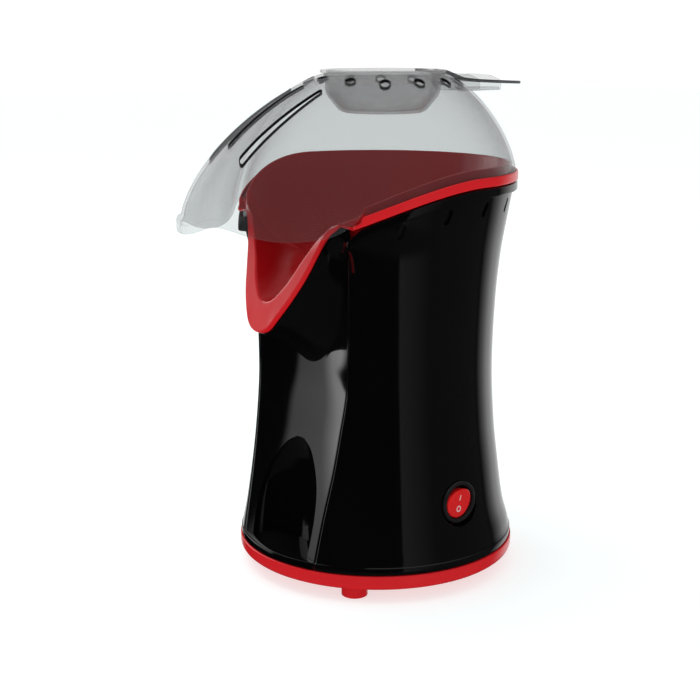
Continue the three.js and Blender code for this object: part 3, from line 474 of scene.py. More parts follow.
def housing_levels(top):
    """Rows of (height, outer radius or None, band, outer inset): None follows the side wall."""
    foot = BASE_TOP + GAP
    band = [(foot, 0.5), (foot + 0.15, 0.15), (foot + 0.5, 0), (BAND_TOP - 0.5, 0),
            (BAND_TOP - 0.2, 0.12), (BAND_TOP, 0.45)]
    levels = [(z, None, True, inset) for z, inset in band]
    wall_top = top - RIM_BAND - 0.6
    levels += [(z, None, False, 0) for z in spread(BAND_TOP + 0.4, wall_top, 70)]
    bead = [(RIM_BAND, 1.0), (RIM_BAND - 0.25, 0.35), (RIM_BAND - 0.8, 0), (1.0, 0),
            (0.4, 0.15), (0.1, 0.5), (0, 1.0)]
    levels += [(top - drop, RIM_RADIUS - inset, False, 0) for drop, inset in bead]
    return levels


def housing_columns():
    """(fraction, turn): turn is the angle round the front edge's fillet, or None on the wall."""
    fillet = [(0.0, turn) for turn in (90, 60, 30, 0)]
    wall = [(f, None) for f in (0.006, 0.012, 0.02, 0.03, 0.042, *spread(0.055, 0.945, 150),
                                0.958, 0.97, 0.98, 0.988, 0.994)]
    return [*fillet, *wall, *((1.0, turn) for turn in (0, 30, 60, 90))]


def housing_column(fraction, turn):
    """Outer and inner points of the housing from its foot to its rim at one column."""
    at_top = side_wall(fraction, COLUMN_Z, 0)
    angle = math.atan2(at_top[1], at_top[0])
    top = housing_top(RIM_RADIUS * math.sin(angle)) - front_end_drop(fraction)
    side = 1 if fraction < 0.5 else -1
    outer, inner = [], []
    for z, radius, band, inset in housing_levels(top):
        if radius is None:
            point = side_wall(fraction, BASE_TOP + 1 if band else z, inset)
            inside = side_wall(fraction, z, WALL)
        else:
            point = polar(radius, math.degrees(angle), z)
            inside = polar(77 if z > top - 2 else 75.9, math.degrees(angle), z)
        point[2] = inside[2] = z
        if turn is not None:
            bearing = math.atan2(point[1], point[0])
            normal = np.array([math.cos(bearing), math.sin(bearing), 0])
            tangent = side * np.array([math.sin(bearing), -math.cos(bearing), 0])
            swing = math.radians(turn)
            back = tangent * EDGE_RADIUS * (1 - math.sin(swing))
            point = point - back - normal * EDGE_RADIUS * (1 - math.cos(swing))
            inside = inside - back
        outer.append(point)
        inner.append(inside)
    return outer, inner


def vent_height(angle):
    return collar_top(VENT_RADIUS * math.sin(angle)) - VENT_DROP


def vent_cutters():
    """Leaning bars through the side wall, one for each vent slot under the rim."""
    lean_c, lean_s = math.cos(VENT_LEAN), math.sin(VENT_LEAN)
    parts = []
    for angle in map(math.radians, VENT_ANGLES):
        c, s = math.cos(angle), math.sin(angle)
        rows = []
        for radius in (66, 84):
            row = []
            for u, v in capsule_outline(3, 8.5):
                across, up = u * lean_c - v * lean_s, u * lean_s + v * lean_c
                row.append((radius * c - across * s, radius * s + across * c, vent_height(angle) + up))
            rows.append(row)
        parts.append(loft(rows, "fan"))
    return joined_mesh("vent_cutters", parts)


def vent_shade_sheet(material):
    """Dark inner band of the housing behind the vent slots: painted shade that keeps the slots dark, as if
    the housing's inside lay in shade.
    """
    rows = []
    for fraction in spread(0.03, 0.97, 120):
        at_top = side_wall(fraction, COLUMN_Z, 0)
        angle = math.atan2(at_top[1], at_top[0])
        section = ((-7, 0.6), (7, 0.6), (7, 1.4), (-7, 1.4))
        rows.append([side_wall(fraction, vent_height(angle) + up, WALL + depth) for up, depth in section])
    shade_sheet = new_object("vent_shade_sheet", *loft(rows, "fan"), material)
    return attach(shade_sheet, "housing")


def plug(radius, start, along, height):
    """Closed cylinder along +X or +Y at a height, to cut a round hole outwards from its start."""
    outline = circle_outline(radius, 72)
    if along == "x":
        return loft([[(reach, u, height + v) for u, v in outline] for reach in (start, 90)], "fan")
    return loft([[(u, reach, height + v) for u, v in outline] for reach in (start, 90)], "fan")


def make_housing(material):
    columns = [housing_column(*column) for column in housing_columns()]
    rows = [[*outer, *inner[::-1]] for outer, inner in columns]
    housing = new_object("rear_housing_fine", *loft(rows, "strip"), material, smooth=32)
    combine(housing, [vent_cutters()])
    for hole in (
        (13.5, SWITCH_FACE_X, "x", SWITCH_Z), (10.8, 60, "x", SWITCH_Z),
        (7.8, GLAND_FACE_Y, "y", GLAND_Z), (6.2, 60, "y", GLAND_Z),
    ):
        combine(housing, [new_object("plug", *plug(*hole))])
    shade(housing, 32)
    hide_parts("rear_housing")
    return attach(housing, "housing")


# -------- front panel, chin and niche
niche_half = through([
    (18, 26), (26, 26.6), (34, 27), (43, 26.8), (52, 25.6), (60, 23.2), (67, 19.6), (74, 14.8),
    (79, 10), (83, 2.5),
])
niche_depth = through([(18, 18.4), (35, 16.6), (52, 13.4), (67, 8), (76, 4), (83, 0.6)])
CHIN_BACK = [(0, 125), (9, 127.3), (17.5, 133.5), (26.5, 143.5), (33.5, 157), (38, 176), (39.4, 198),
             (40.4, 207.2)]
chin_back = symmetric(CHIN_BACK)
CHIN_STEPS = 48
CHIN_HOLLOW = 2.4  # how far the chin's flank is hollow between the lip and the panel
SHELL_WALL = 2.3  # wall of the chin and of the niche
SEAM_START, SEAM_END = 1.2, 6.6  # keys of chin_back that the seam runs between
CORNER_X = (33.5, 48.6)
CORNER_FOOT_Z = 184


def panel_face(x, z):
    """Front of the panel with the plain band at its foot."""
    return panel_front(x, z if z >= BAND_TOP else BASE_TOP + 1)


def panel_slab():
    foot = BASE_TOP + GAP
    heights = [foot, foot + 0.4, BAND_TOP - 0.5, BAND_TOP - 0.2, BAND_TOP - 0.06,
               BAND_TOP, BAND_TOP + 0.6, *spread(22, 208, 94)]
    insets = [0.4, 0, 0, 0.12, 0.4, *[0] * 96]
    shares = [-1, -0.996, -0.985, *spread(-0.97, 0.97, 78), 0.985, 0.996, 1]
    edge = [0.6, 0.2, 0.03, *[0] * 78, 0.03, 0.2, 0.6]
    rows = []
    for across, lip in zip(shares, edge):
        front, back = [], []
        for z, inset in zip(heights, insets):
            drawn = z if z >= BAND_TOP else BASE_TOP + 1
            x = across * (crease(drawn)[0] - 0.6)
            front.append((x, panel_face(x, z) + inset + lip, z))
            x = across * (crease(drawn)[0] - 3.6)
            back.append((x, panel_front(x, drawn) + WALL, z))
        rows.append([*front, *back[::-1]])
    return loft(rows, "strip")


def niche_rows(heights, grow, front_of):
    rows = []
    for z, drawn in heights:
        half = min(niche_half(drawn)[0] + grow, crease(drawn)[0] - (2.7 if grow else 4))
        edge = panel_front(half, z)
        depth = niche_depth(drawn)[0] + grow
        arc = []
        for k in range(41):
            angle = math.pi * (1 - k / 40)
            arc.append((half * math.cos(angle), edge + 0.6 * grow + depth * math.sin(angle), z))
        front = [(half * (1 - k / 8) * 0.999, front_of(half * (1 - k / 8), z), z) for k in range(17)]
        rows.append([*arc, *front])
    return rows


def niche_cut():
    heights = [(z, z) for z in [BAND_TOP, *spread(22, 82, 40), 82.7]]
    return new_object("niche_cut", *loft(niche_rows(heights, 0, lambda x, z: -95), "fan"))


def niche_shell():
    levels = [18, BAND_TOP - 0.1, BAND_TOP, *spread(23, 86, 28)]
    heights = [(z, 20 + (z - 18) * 63 / 68) for z in levels]
    rows = niche_rows(heights, SHELL_WALL, lambda x, z: panel_front(x, z) + 0.8)
    return new_object("niche_shell", *loft(rows, "fan"))


def chin_rows(inset, stations, top_height):
    """The chin's outline at each station (share of the way from the lip back to the panel, shift)."""
    rows = []
    for t, shift in stations:
        half = []
        for step in range(CHIN_STEPS + 1):
            key = 7 * step / CHIN_STEPS
            x, z = chin_back(key)
            front = lip_curve(key)[4:7] - (FLANGE + 2 * GAP) * LIP_NORMAL
            back = (x, panel_front(x, z) + 1.6, z)
            point = mix(front, back, t)
            hollow = CHIN_HOLLOW * math.sin(math.pi * t)
            scale = hollow / 28 * min(step / 4, 1)
            half.append(np.array([
                point[0] * (1 - scale), point[1] + shift, point[2] + hollow * (1 - key / 7),
            ]))
        loop = [*(p * (-1, 1, 1) for p in half[:0:-1]), *half]
        drawn = []
        for k, point in enumerate(loop):
            before, after = loop[max(k - 1, 0)], loop[min(k + 1, len(loop) - 1)]
            dx, dz = after[0] - before[0], after[2] - before[2]
            length = math.hypot(dx, dz)
            drawn.append(point + np.array([-dz / length, 0, dx / length]) * inset)
        raised = [(p[0], p[1], max(top_height, p[2] + 1)) for p in (drawn[-1], drawn[0])]
        rows.append([*drawn, *raised])
    return rows


def make_panel(material):
    panel = new_object("front_panel_fine", *panel_slab(), material, smooth=32)
    stations = [(t, 0) for t in spread(0, 1, 17)]
    chin_shell = new_object("chin", *loft(chin_rows(0, stations, 0), "fan"))
    stations = [(0, -8), *stations, (1, 14)]
    chin_cut = new_object("chin_cut", *loft(chin_rows(SHELL_WALL, stations, 240), "fan"))
    combine(panel, [chin_shell, niche_shell()], "UNION")
    combine(panel, [chin_cut, niche_cut()])
    combine(panel, [funnel_keep_out()], crossing=True)
    shade(panel, 32)
    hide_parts("front_panel")
    corners = joined_mesh("panel_corners", [panel_corner(1), panel_corner(-1)], material)
    seams = joined_mesh("chin_seams", [chin_seam(1), chin_seam(-1)], material)
    for piece in (panel, corners, seams):
        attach(piece, "housing")


def chin_seam(side):
    """Rounded weld line where the chin meets the panel, on one side."""
    rows = []
    for key in spread(SEAM_START, SEAM_END, 60):
        x, z = chin_back(key)
        ahead = chin_back(min(key + 0.05, 7)) - chin_back(key - 0.05)
        across = np.array([ahead[1], -ahead[0]]) / math.hypot(*ahead)
        radius = 0.55 * smoothstep(key, SEAM_START - 0.05, SEAM_START + 1)
        radius *= 1 - smoothstep(key, SEAM_END - 0.6, SEAM_END + 0.05)
        loop = []
        for aside, out in circle_outline(radius, 10):
            u, v = x + across[0] * aside, z + across[1] * aside
            loop.append((side * u, panel_front(u, v) + 0.1 - out, v))
        rows.append(loop)
    return loft(rows, "fan")


def panel_corner(side):
    """Top corner of the panel between the chin's end and the crease, close under the lip's flange."""
    lip_under = through([
        (33.5, 197), (35.5, 201.4), (39.4, 205.2), (42.8, 208.2), (45.5, 208.4), (48.6, 207.6),
    ])
    rows = []
    for x in spread(*CORNER_X, 30):
        top = lip_under(x)[0]
        flange = np.interp(x, [33.5, 37.6, 42.8, 48.6], [-63.4, -62.2, -60.6, -59.8])
        front = []
        for z in spread(CORNER_FOOT_Z, top, 20):
            lean = smoothstep(z, CORNER_FOOT_Z, top)
            front.append((side * x, mix(panel_front(min(x, 46), z) + 1.2, flange, lean), z))
        back = [(px, float(y) + 0.7, z) for px, y, z in reversed(front)]
        rows.append([*front, *back])
    return loft(rows, "strip")


# -------- base
GRILLE_RADIUS = 27  # from the blower's axis to the middle of an intake slot
FOOT_X, FOOT_Y = 44, 52
POST_RADIUS = 48


def make_base(material):
    profile = [
        (0, BASE_BOTTOM), (78.5, BASE_BOTTOM), (BASE_RADIUS, BASE_BOTTOM + 2.6), (BASE_RADIUS, BASE_TOP),
        (77.3, BASE_TOP), (77.3, 17.6), (75.3, 17.6), (75.3, BASE_BOTTOM + 2.5), (0, BASE_BOTTOM + 2.5),
    ]
    cuts = [0, 1.6, 1.6, 0.6, 0.3, 0.3, 0.3, 0.3, 0]
    base = new_object("base_plate_fine", *turned(profile, cuts, 180), material, smooth=32)
    slots = []
    slot = [(u, v + GRILLE_RADIUS) for u, v in capsule_outline(3.4, 25, 6)]
    for c, s in full_turn(12):
        slots.append(loft([
            [(u * c - v * s, INNER_Y + u * s + v * c, z) for u, v in slot]
            for z in (BASE_BOTTOM - 3, BASE_BOTTOM + 5)
        ], "fan"))
    combine(base, [joined_mesh("grille", slots)])
    shade(base, 32)
    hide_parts("base_plate")
    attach(base, "housing")


def make_feet(material):
    """Feet under the base and screw posts inside it."""
    profile = [(4, 0), (7.5, 0), (7.5, BASE_BOTTOM + 1.5), (1.9, BASE_BOTTOM + 1.5), (1.9, 6.2), (4, 6.2)]
    cuts = [0.3, 0.9, 0, 0, 0, 0]
    places = [(FOOT_X, -FOOT_Y), (FOOT_X, FOOT_Y), (-FOOT_X, FOOT_Y), (-FOOT_X, -FOOT_Y)]
    feet = [turned_ring(profile, cuts, x, y) for x, y in places]
    base_feet = joined_mesh("base_feet", feet, material)
    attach(base_feet, "housing")
    profile = [(1.5, 24), (1.5, 37.7), (4, 37.7), (4, BASE_BOTTOM + 2), (1.5, BASE_BOTTOM + 2)]
    places = [polar(POST_RADIUS, bearing, 0, INNER_Y)[:2] for bearing in SCREW_BEARINGS]
    posts = [turned_ring(profile, [0, 0.2, 0.4, 0, 0], x, y) for x, y in places]
    base_posts = joined_mesh("base_posts", posts, material)
    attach(base_posts, "housing")


# -------- lid
SKIRT = [  # half outline of the lid's lower edge from the nose back to the collar
    (0, -131.6, 206.2), (6, -130.7, 206.8), (11, -128, 208.8), (15, -124, 210.6), (19, -118, 209.4),
    (25.5, -107, 205), (33, -94.5, 202.3), (40.5, -82, 202.2), (49.5, -69.5, 205), (55.8, -61, 212),
]
skirt_curve = symmetric(SKIRT)
SLOTS = [(0, -77, 50), (14, -77.5, 54), (-14, -77.5, 54)]
SLOT_WIDTH = 2.8
NOSE_TUCK = 2.4  # how far the hood stands back from its turned-out lip
DOME_STEPS = 40


def lid_skirt():
    front = [skirt_curve(key) for key in spread(0, 9, 73)]
    corner = collar_point(LID_OUTER, COLLAR_START, 4 * GAP)
    bend = [mix(front[-1], corner, t) for t in (0.35, 0.7)]
    groove = [corner]
    for degrees in spread(COLLAR_START, 90, 91)[1:]:
        settle = 4 * GAP - (3 * GAP + 2) * smoothstep(degrees, COLLAR_START, COLLAR_START + 3)
        groove.append(collar_point(LID_OUTER, degrees, max(settle, GAP - 2)))
    return [*front, *bend, *groove]


def lid_section(point):
    """Closed section of the lid at one point of its lower edge."""
    x, y, z = point
    bearing = math.degrees(math.atan2(y - LID_CENTRE_Y, x))
    reach = math.hypot(x, y - LID_CENTRE_Y)
    nose = smoothstep(-y, 100, 130)
    skirt = 1.0 + nose * (SKIRT_LIP - 1.0)
    tuck = 0.04 + NOSE_TUCK * nose
    flank = math.sin(math.pi * min(max((-y - 58) / 70, 0), 1)) ** 2

    def at(radius, height):
        return polar(radius, bearing, height, LID_CENTRE_Y)

    outside = rounded(
        [at(reach - LID_WALL, z), at(reach, z), at(reach, z + skirt), at(reach - tuck, z + skirt + 0.1)],
        [0, 0.5, 0.5, 0], 3, closed=False,
    )[1:-1]
    inside = [at(reach - LID_WALL, z), at(reach - LID_WALL, z + 0.5)]
    for k in range(DOME_STEPS + 1):
        level = k / DOME_STEPS * math.pi / 2
        drop = max(math.cos(level), 0) ** (2 / LID_EXPONENT)
        rise = math.sin(level) ** (2 / LID_EXPONENT)
        full = LID_FLANK * flank * math.sin(2 * level)
        radius = LID_HOLE + (reach - tuck - LID_HOLE) * drop + full
        inner = LID_HOLE + (reach - tuck - LID_WALL - LID_HOLE) * drop + full
        outside.append(at(radius, mix(z + skirt + 0.1, LID_TOP, rise)))
        inside.append(at(inner, mix(z + skirt + 0.1, LID_TOP - LID_WALL, rise)))
    return [*outside, *inside[::-1]]


def lid_rows():
    return ring_of([lid_section(point) for point in lid_skirt()])


def opening_outlines():
    """Outline points of every slot and steam hole of the lid, as (centre, outline)."""
    outlines = [((x, y), capsule_outline(SLOT_WIDTH, length)) for x, y, length in SLOTS]
    for k in range(STEAM_HOLES):
        x, y, _ = polar(STEAM_RING, 90 + 360 * (k + 1) / STEAM_HOLES, 0, LID_CENTRE_Y)
        outlines.append(((x, y), circle_outline(STEAM_RADIUS)))
    return outlines


def dense(outline):
    """The outline with its long straight stretches cut up."""
    points = []
    for point, after in zip(outline, [*outline[1:], outline[0]]):
        count = max(1, round(math.dist(point, after) / 1.5))
        points += [mix(point, after, s / count) for s in range(count)]
    return points


def lid_openings():
    """Cutters for the slots and steam holes."""
    parts = []
    for (cx, cy), outline in opening_outlines():
        parts.append(loft([[(cx + u, cy + v, z) for u, v in outline] for z in (225, 300)], "fan"))
    return joined_mesh("lid_openings", parts)


def surface_below(tree, x, y):
    """Heights of the lid's outer and inner face at a place, in millimetres."""
    heights = []
    top = Vector((x * MM, (y + AXIS_Y) * MM, 0.4))
    for _ in range(2):
        hit = tree.ray_cast(top, Vector((0, 0, -1)))[0]
        heights.append(hit.z / MM)
        top = hit - Vector((0, 0, 1e-5))
    return heights


def lid_edge_shades(tree, material):
    """Dark bands that line the slots and steam holes: painted shade on the lid's clear cut edges, dark where
    the eye meets the cut edge.
    """
    parts = []
    for (cx, cy), outline in opening_outlines():
        straight = outline[0][1]  # half the straight stretch of a slot, nothing for a hole
        rows = []
        for u, v in dense(outline):
            outer, inner = surface_below(tree, cx + u, cy + v)
            share = 0.7 if straight else 0.82
            reach = math.copysign(min(abs(v), straight), v)
            iu, iv = u * share, reach + (v - reach) * share
            foot = inner * 0.9 + outer * 0.1
            rows.append([
                (cx + u, cy + v, outer + 0.02), (cx + (u + iu) / 2, cy + (v + iv) / 2, outer + 0.1),
                (cx + iu, cy + iv, outer - 0.05), (cx + iu, cy + iv, foot), (cx + u, cy + v, foot),
            ])
        parts.append(loft(rows, "join"))
    edge_shades = joined_mesh("lid_opening_edge_shades", parts, material)
    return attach(edge_shades, "lid")


def lid_grip(material):
    """Clear lug behind the cup that the handle lies in."""
    outline = [(50, 274.6), (89, 274.6), (89, 280.4), (80, 283.6), (64, 284.8), (54, 284.2), (50, 281.5)]
    parts = []
    for x in (-10, 8.2):
        side = rounded([(0, y, z) for y, z in outline], [0.4, 0.8, 2.2, 3, 3, 2, 1])
        rows = [[(x + dx, p[1], p[2]) for p in shrink_loop(side, inset)]
                for dx, inset in ((0, 0.35), (0.3, 0), (1.5, 0), (1.8, 0.35))]
        parts.append(loft(rows, "fan"))
    floor = rounded([(-8.1, 0, 274.6), (8.1, 0, 274.6), (8.1, 0, 276.4), (-8.1, 0, 276.4)], [0.3] * 4, 2)
    parts.append(loft([[(p[0], y, p[2]) for p in floor] for y in spread(62, 89, 6)], "fan"))
    grip = joined_mesh("lid_grip", parts, material)
    combine(grip, [lid_inside()])
    shade(grip)
    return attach(grip, "lid")


def shrink_loop(loop, inset):
    centre = sum(loop) / len(loop)
    return [p + (centre - p) * inset / max(np.linalg.norm(p - centre), 1e-6) for p in loop]


def lid_inside():
    """The space under the lid's outer face, to trim what stands on it."""
    rows = []
    for point in lid_skirt():
        section = lid_section(point)
        half = section[3:len(section) // 2]
        x, _, z = half[-1] * (0.02, 1, 1)
        rows.append([(*half[0][:2], 190), *half, (x, LID_CENTRE_Y, z), (x, LID_CENTRE_Y, 190)])
    return new_object("lid_inside", *loft(ring_of(rows), "join"))


def make_lid(material, edge_shade_material, grip_material):
    lid = new_object("lid_cover_fine", *loft(lid_rows(), "join"), material, smooth=40)
    tree = BVHTree.FromObject(lid, bpy.context.evaluated_depsgraph_get())
    # dark bands round the lid's openings: painted shade
    lid_edge_shades(tree, edge_shade_material)
    combine(lid, [lid_openings()])
    lid_grip(grip_material)
    shade(lid, 40)
    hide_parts("lid_cover")
    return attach(lid, "lid")


# -------- measuring cup
handle_centre = through([
    (35, 286.9, 9), (44, 286.4, 8.6), (52, 284.2, 8), (62, 281.4, 7.6), (90, 279.4, 7),
    (106, 278.7, 6.2), (HANDLE_END_Y, 278.4, 3.6),
])


def make_cup(material, handle_material):
    bottom = CUP_TOP - CUP_DEPTH
    wall = 1.4
    profile = [
        (0, bottom), (22.4, bottom), (25.2, bottom + 1.6), (CUP_RADIUS - 0.6, bottom + 10.5),
        (CUP_RADIUS, CUP_TOP - 1.7), (35.6, CUP_TOP - 1.7), (35.9, CUP_TOP),
        (32.6, CUP_TOP), (CUP_RADIUS - wall, CUP_TOP - 1.2), (CUP_RADIUS - 0.6 - wall, bottom + 11),
        (24.4, bottom + 2.9), (21.6, bottom + wall), (0, bottom + wall),
    ]
    cuts = [0, 1.4, 1.4, 3, 0.3, 0.4, 0.8, 0.8, 0.6, 3, 1.6, 1.2, 0]
    cup = new_object("measuring_cup_fine", *turned(profile, cuts, 120, 0, LID_CENTRE_Y), material, smooth=30)
    rows = []
    for y in [36.2, *spread(38, 106, 40), 108.5, 110.5, 111.6, HANDLE_END_Y]:
        z, half = handle_centre(y)
        if y > 108:
            half = 6.2 * math.sqrt(max(1 - ((y - 106) / (HANDLE_END_Y - 105.4)) ** 2, 0.05))
        section = [(-half, -0.9), (half, -0.9), (half, 0.9), (half - 1.2, 0.9), (half - 1.6, 0.3),
                   (1.6 - half, 0.3), (1.2 - half, 0.9), (-half, 0.9)]
        loop = [(x, y, z + rise) for x, rise in section]
        rows.append(rounded(loop, [0.5, 0.5, 0.4, 0.3, 0.2, 0.2, 0.3, 0.4], 3))
    handle = new_object("cup_handle", *loft(rows, "fan"), handle_material)
    for piece in (cup, handle):
        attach(piece, "cup")
    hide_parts("measuring_cup")
    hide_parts("measuring_cup")
    return cup


# -------- switch
def facing_x(part):
    """Turns a part built about the Z axis so that it points along +X at the switch's height."""
    vertices, faces = part
    return [(z, y, SWITCH_Z - x) for x, y, z in vertices], faces


def make_switch(black, lens, paint):
    profile = [
        (0, 55), (10.4, 55), (10.4, SWITCH_FACE_X + GAP), (12.2, SWITCH_FACE_X + GAP),
        (11.9, SWITCH_FACE_X + 1.7), (9.8, SWITCH_FACE_X + 1.4), (9.6, 57), (0, 57),
    ]
    cuts = [0, 0.4, 0, 0.2, 0.8, 0.4, 0.3, 0]
    bezel = new_object("switch_bezel", *facing_x(turned(profile, cuts, 96)), black)
    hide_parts("switch_housing")
    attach(bezel, "housing")
    make_rocker(lens, paint)


def rocker_face(v):
    """Height of the rocker's dished face over its pivot, at a place along the tipping direction."""
    return 2.7 + 1.1 * (v / 8.9) ** 2


def tilted(point):
    """A point about the rocker's pivot, tipped to the off position."""
    angle = math.radians(ROCKER_TILT)
    out, y, up = point
    c, s = math.cos(angle), math.sin(angle)
    return (ROCKER_PIVOT_X + out * c + up * s, y, SWITCH_Z - out * s + up * c)


def make_rocker(lens, paint):
    rings = [(0.02, 0), (0.2, 0), (0.4, 0), (0.6, 0), (0.78, 0), (0.9, 0.03), (0.96, 0.18), (1.0, 0.6)]
    rows = []
    for y, up in circle_outline(ROCKER_RADIUS, 64):
        row = [on_face(y * share, up * share, -sink) for share, sink in rings]
        tip = 0.02 / ROCKER_RADIUS
        rows.append([*row, tilted((-3.6, y * 0.99, up * 0.8)), tilted((-5.2, y * tip, up * tip))])
    rocker = new_object("switch_rocker_lens", *loft(rows, "join", closed=False), lens)
    fill_ends(rocker)
    shade(rocker, 50)
    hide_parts("switch_rocker")
    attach(rocker, "rocker")
    marks = joined_mesh("switch_marks", [mark_bar(), mark_ring()], paint)
    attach(marks, "rocker")


def fill_ends(obj):
    shell = bmesh.new()
    shell.from_mesh(obj.data)
    bmesh.ops.holes_fill(shell, edges=[e for e in shell.edges if e.is_boundary])
    bmesh.ops.recalc_face_normals(shell, faces=shell.faces)
    shell.to_mesh(obj.data)
    shell.free()


def on_face(y, up, rise):
    return tilted((rocker_face(up) + rise, y, up))


def mark_bar():
    section = ((-0.28, -0.1), (0.28, -0.1), (0.28, 0.06), (-0.28, 0.06))
    return loft([[on_face(y, up, rise) for y, rise in section] for up in spread(1.6, 5.0, 8)], "fan")


def mark_ring():
    section = ((1.05, -0.1), (1.6, -0.1), (1.6, 0.06), (1.05, 0.06))
    rows = [[on_face(r * c, 1.15 * r * s - 3.6, rise) for r, rise in section] for c, s in full_turn(36)]
    return loft(rows, "join")


# -------- materials
def node(tree, kind, **inputs):
    made = tree.nodes.new(kind)
    for key, value in inputs.items():
        made.inputs[key.replace("_", " ")].default_value = value
    return made


def math_node(tree, operation, first, second=None):
    made = tree.nodes.new("ShaderNodeMath")
    made.operation = operation
    for slot_index, value in enumerate((first, second)):
        if value is None:
            continue
        if isinstance(value, (int, float)):
            made.inputs[slot_index].default_value = value
        else:
            tree.links.new(value, made.inputs[slot_index])
    return made.outputs[0]


def ramp(tree, value, low, high, start=0.0, end=1.0):
    made = node(tree, "ShaderNodeMapRange", From_Min=low, From_Max=high, To_Min=start, To_Max=end)
    made.clamp = True
    tree.links.new(value, made.inputs["Value"])
    return made.outputs["Result"]


def product(tree, *values):
    total = values[0]
    for value in values[1:]:
        total = math_node(tree, "MULTIPLY", total, value)
    return total


def blend(tree, share, first, second):
    """Mix of two shaders: share 0 is the first alone, 1 the second."""
    made = tree.nodes.new("ShaderNodeMixShader")
    tree.links.new(share, made.inputs[0])
    tree.links.new(first, made.inputs[1])
    tree.links.new(second, made.inputs[2])
    return made.outputs["Shader"]


def new_material(name):
    """A node material with its tree and its main shader."""
    material = bpy.data.materials.new(name)
    material.use_nodes = True
    return material, material.node_tree, material.node_tree.nodes["Principled BSDF"]


def noise(tree, scale, detail, stretch=None):
    """Noise over the object's own space, squeezed along Z if a stretch is given."""
    place = tree.nodes.new("ShaderNodeTexCoord").outputs["Object"]
    if stretch:
        mapping = node(tree, "ShaderNodeMapping", Scale=(1, 1, stretch))
        tree.links.new(place, mapping.inputs["Vector"])
        place = mapping.outputs["Vector"]
    made = node(tree, "ShaderNodeTexNoise", Scale=scale, Detail=detail)
    tree.links.new(place, made.inputs["Vector"])
    return made.outputs["Fac"]


def add_bump(tree, shader, height, strength, distance):
    bump = node(tree, "ShaderNodeBump", Strength=strength, Distance=distance)
    tree.links.new(height, bump.inputs["Height"])
    tree.links.new(bump.outputs["Normal"], shader.inputs["Normal"])


def plastic(name, color, roughness, level=0.5, grain=0.0, blotch=0.12, coat=0.0):
    """Moulded plastic: slight colour drift, uneven gloss and a fine moulded skin."""
    material, tree, shader = new_material(name)
    shader.inputs["Specular IOR Level"].default_value = level
    shader.inputs["Coat Weight"].default_value = coat
    shader.inputs["Coat Roughness"].default_value = 0.04
    drift = noise(tree, 18, 3)
    tint = tree.nodes.new("ShaderNodeValToRGB")
    for end, share in enumerate((1 - blotch, 1 + blotch)):
        tint.color_ramp.elements[end].color = (*(min(c * share, 1) for c in color), 1)
    tree.links.new(drift, tint.inputs["Fac"])
    tree.links.new(tint.outputs["Color"], shader.inputs["Base Color"])
    tree.links.new(ramp(tree, drift, 0, 1, roughness * 0.8, roughness * 1.25), shader.inputs["Roughness"])
    if grain:
        add_bump(tree, shader, noise(tree, 900, 2), grain, 0.0002)
    return material


def clear(name, tint, haze, edge_haze, haze_color, shade_tint, roughness=0.05):
    """Thin clear plastic: tinted see-through with a veil of haze that grows towards the edges."""
    material, tree, veil = new_material(name)
    veil.inputs["Base Color"].default_value = (*haze_color, 1)
    gloss = ramp(tree, noise(tree, 25, 2), 0, 1, roughness * 0.6, roughness * 1.4)
    tree.links.new(gloss, veil.inputs["Roughness"])
    facing = node(tree, "ShaderNodeLayerWeight", Blend=0.5)
    share = ramp(tree, math_node(tree, "POWER", facing.outputs["Facing"], 3), 0, 1, haze, edge_haze)
    seen = node(tree, "ShaderNodeBsdfTransparent", Color=(*tint, 1))
    shaded = node(tree, "ShaderNodeBsdfTransparent", Color=(*shade_tint, 1))
    path = tree.nodes.new("ShaderNodeLightPath")
    to_eye = blend(tree, share, seen.outputs["BSDF"], veil.outputs["BSDF"])
    for_light = math_node(tree, "MAXIMUM", path.outputs["Is Shadow Ray"], path.outputs["Is Diffuse Ray"])
    surface = blend(tree, for_light, to_eye, shaded.outputs["BSDF"])
    tree.links.new(surface, tree.nodes["Material Output"].inputs["Surface"])
    return material


def metal(name, color, roughness):
    """Brushed or drawn sheet metal."""
    material, tree, shader = new_material(name)
    shader.inputs["Base Color"].default_value = (*color, 1)
    shader.inputs["Metallic"].default_value = 1
    grain = noise(tree, 400, 4, stretch=14)
    tree.links.new(ramp(tree, grain, 0, 1, roughness * 0.7, roughness * 1.4), shader.inputs["Roughness"])
    add_bump(tree, shader, grain, 0.15, 0.0001)
    return material


BLACK_GLOSS = plastic("black_gloss", (0.0014, 0.0014, 0.0017), 0.07, level=0.5, blotch=0.2)
RED_GLOSS = plastic("red_gloss", (0.64, 0.009, 0.014), 0.2, level=0.34, grain=0.02, blotch=0.04)
LID_CLEAR = clear("lid_clear", (0.885, 0.887, 0.888), 0.03, 0.5, (0.42, 0.43, 0.44), (0.5, 0.47, 0.47))
# near-black cut edges of the clear lid: painted shade
LID_EDGE_SHADE = plastic("lid_cut_edge_shade", (0.008, 0.008, 0.009), 0.2)
CUP_SMOKE = clear("cup_smoke", (0.95, 0.953, 0.953), 0.22, 0.7, (0.42, 0.43, 0.43), (0.6, 0.6, 0.6), 0.1)
CUP_HANDLE = clear("cup_handle_smoke", (0.5, 0.5, 0.51), 0.5, 0.8, (0.08, 0.08, 0.085), (0.4, 0.4, 0.4), 0.1)
LENS_RED = plastic("rocker_red", (0.7, 0.012, 0.013), 0.16, blotch=0.25, coat=0.2)
MARK_WHITE = plastic("mark_white", (0.75, 0.55, 0.55), 0.4)
BLACK_SATIN = plastic("black_satin", (0.008, 0.008, 0.009), 0.4, grain=0.2)
RUBBER = plastic("rubber", (0.01, 0.01, 0.01), 0.6, grain=0.3)
MICA = plastic("mica", (0.45, 0.33, 0.16), 0.45, grain=0.3, blotch=0.3)
BOARD = plastic("board", (0.02, 0.14, 0.045), 0.35, blotch=0.2)
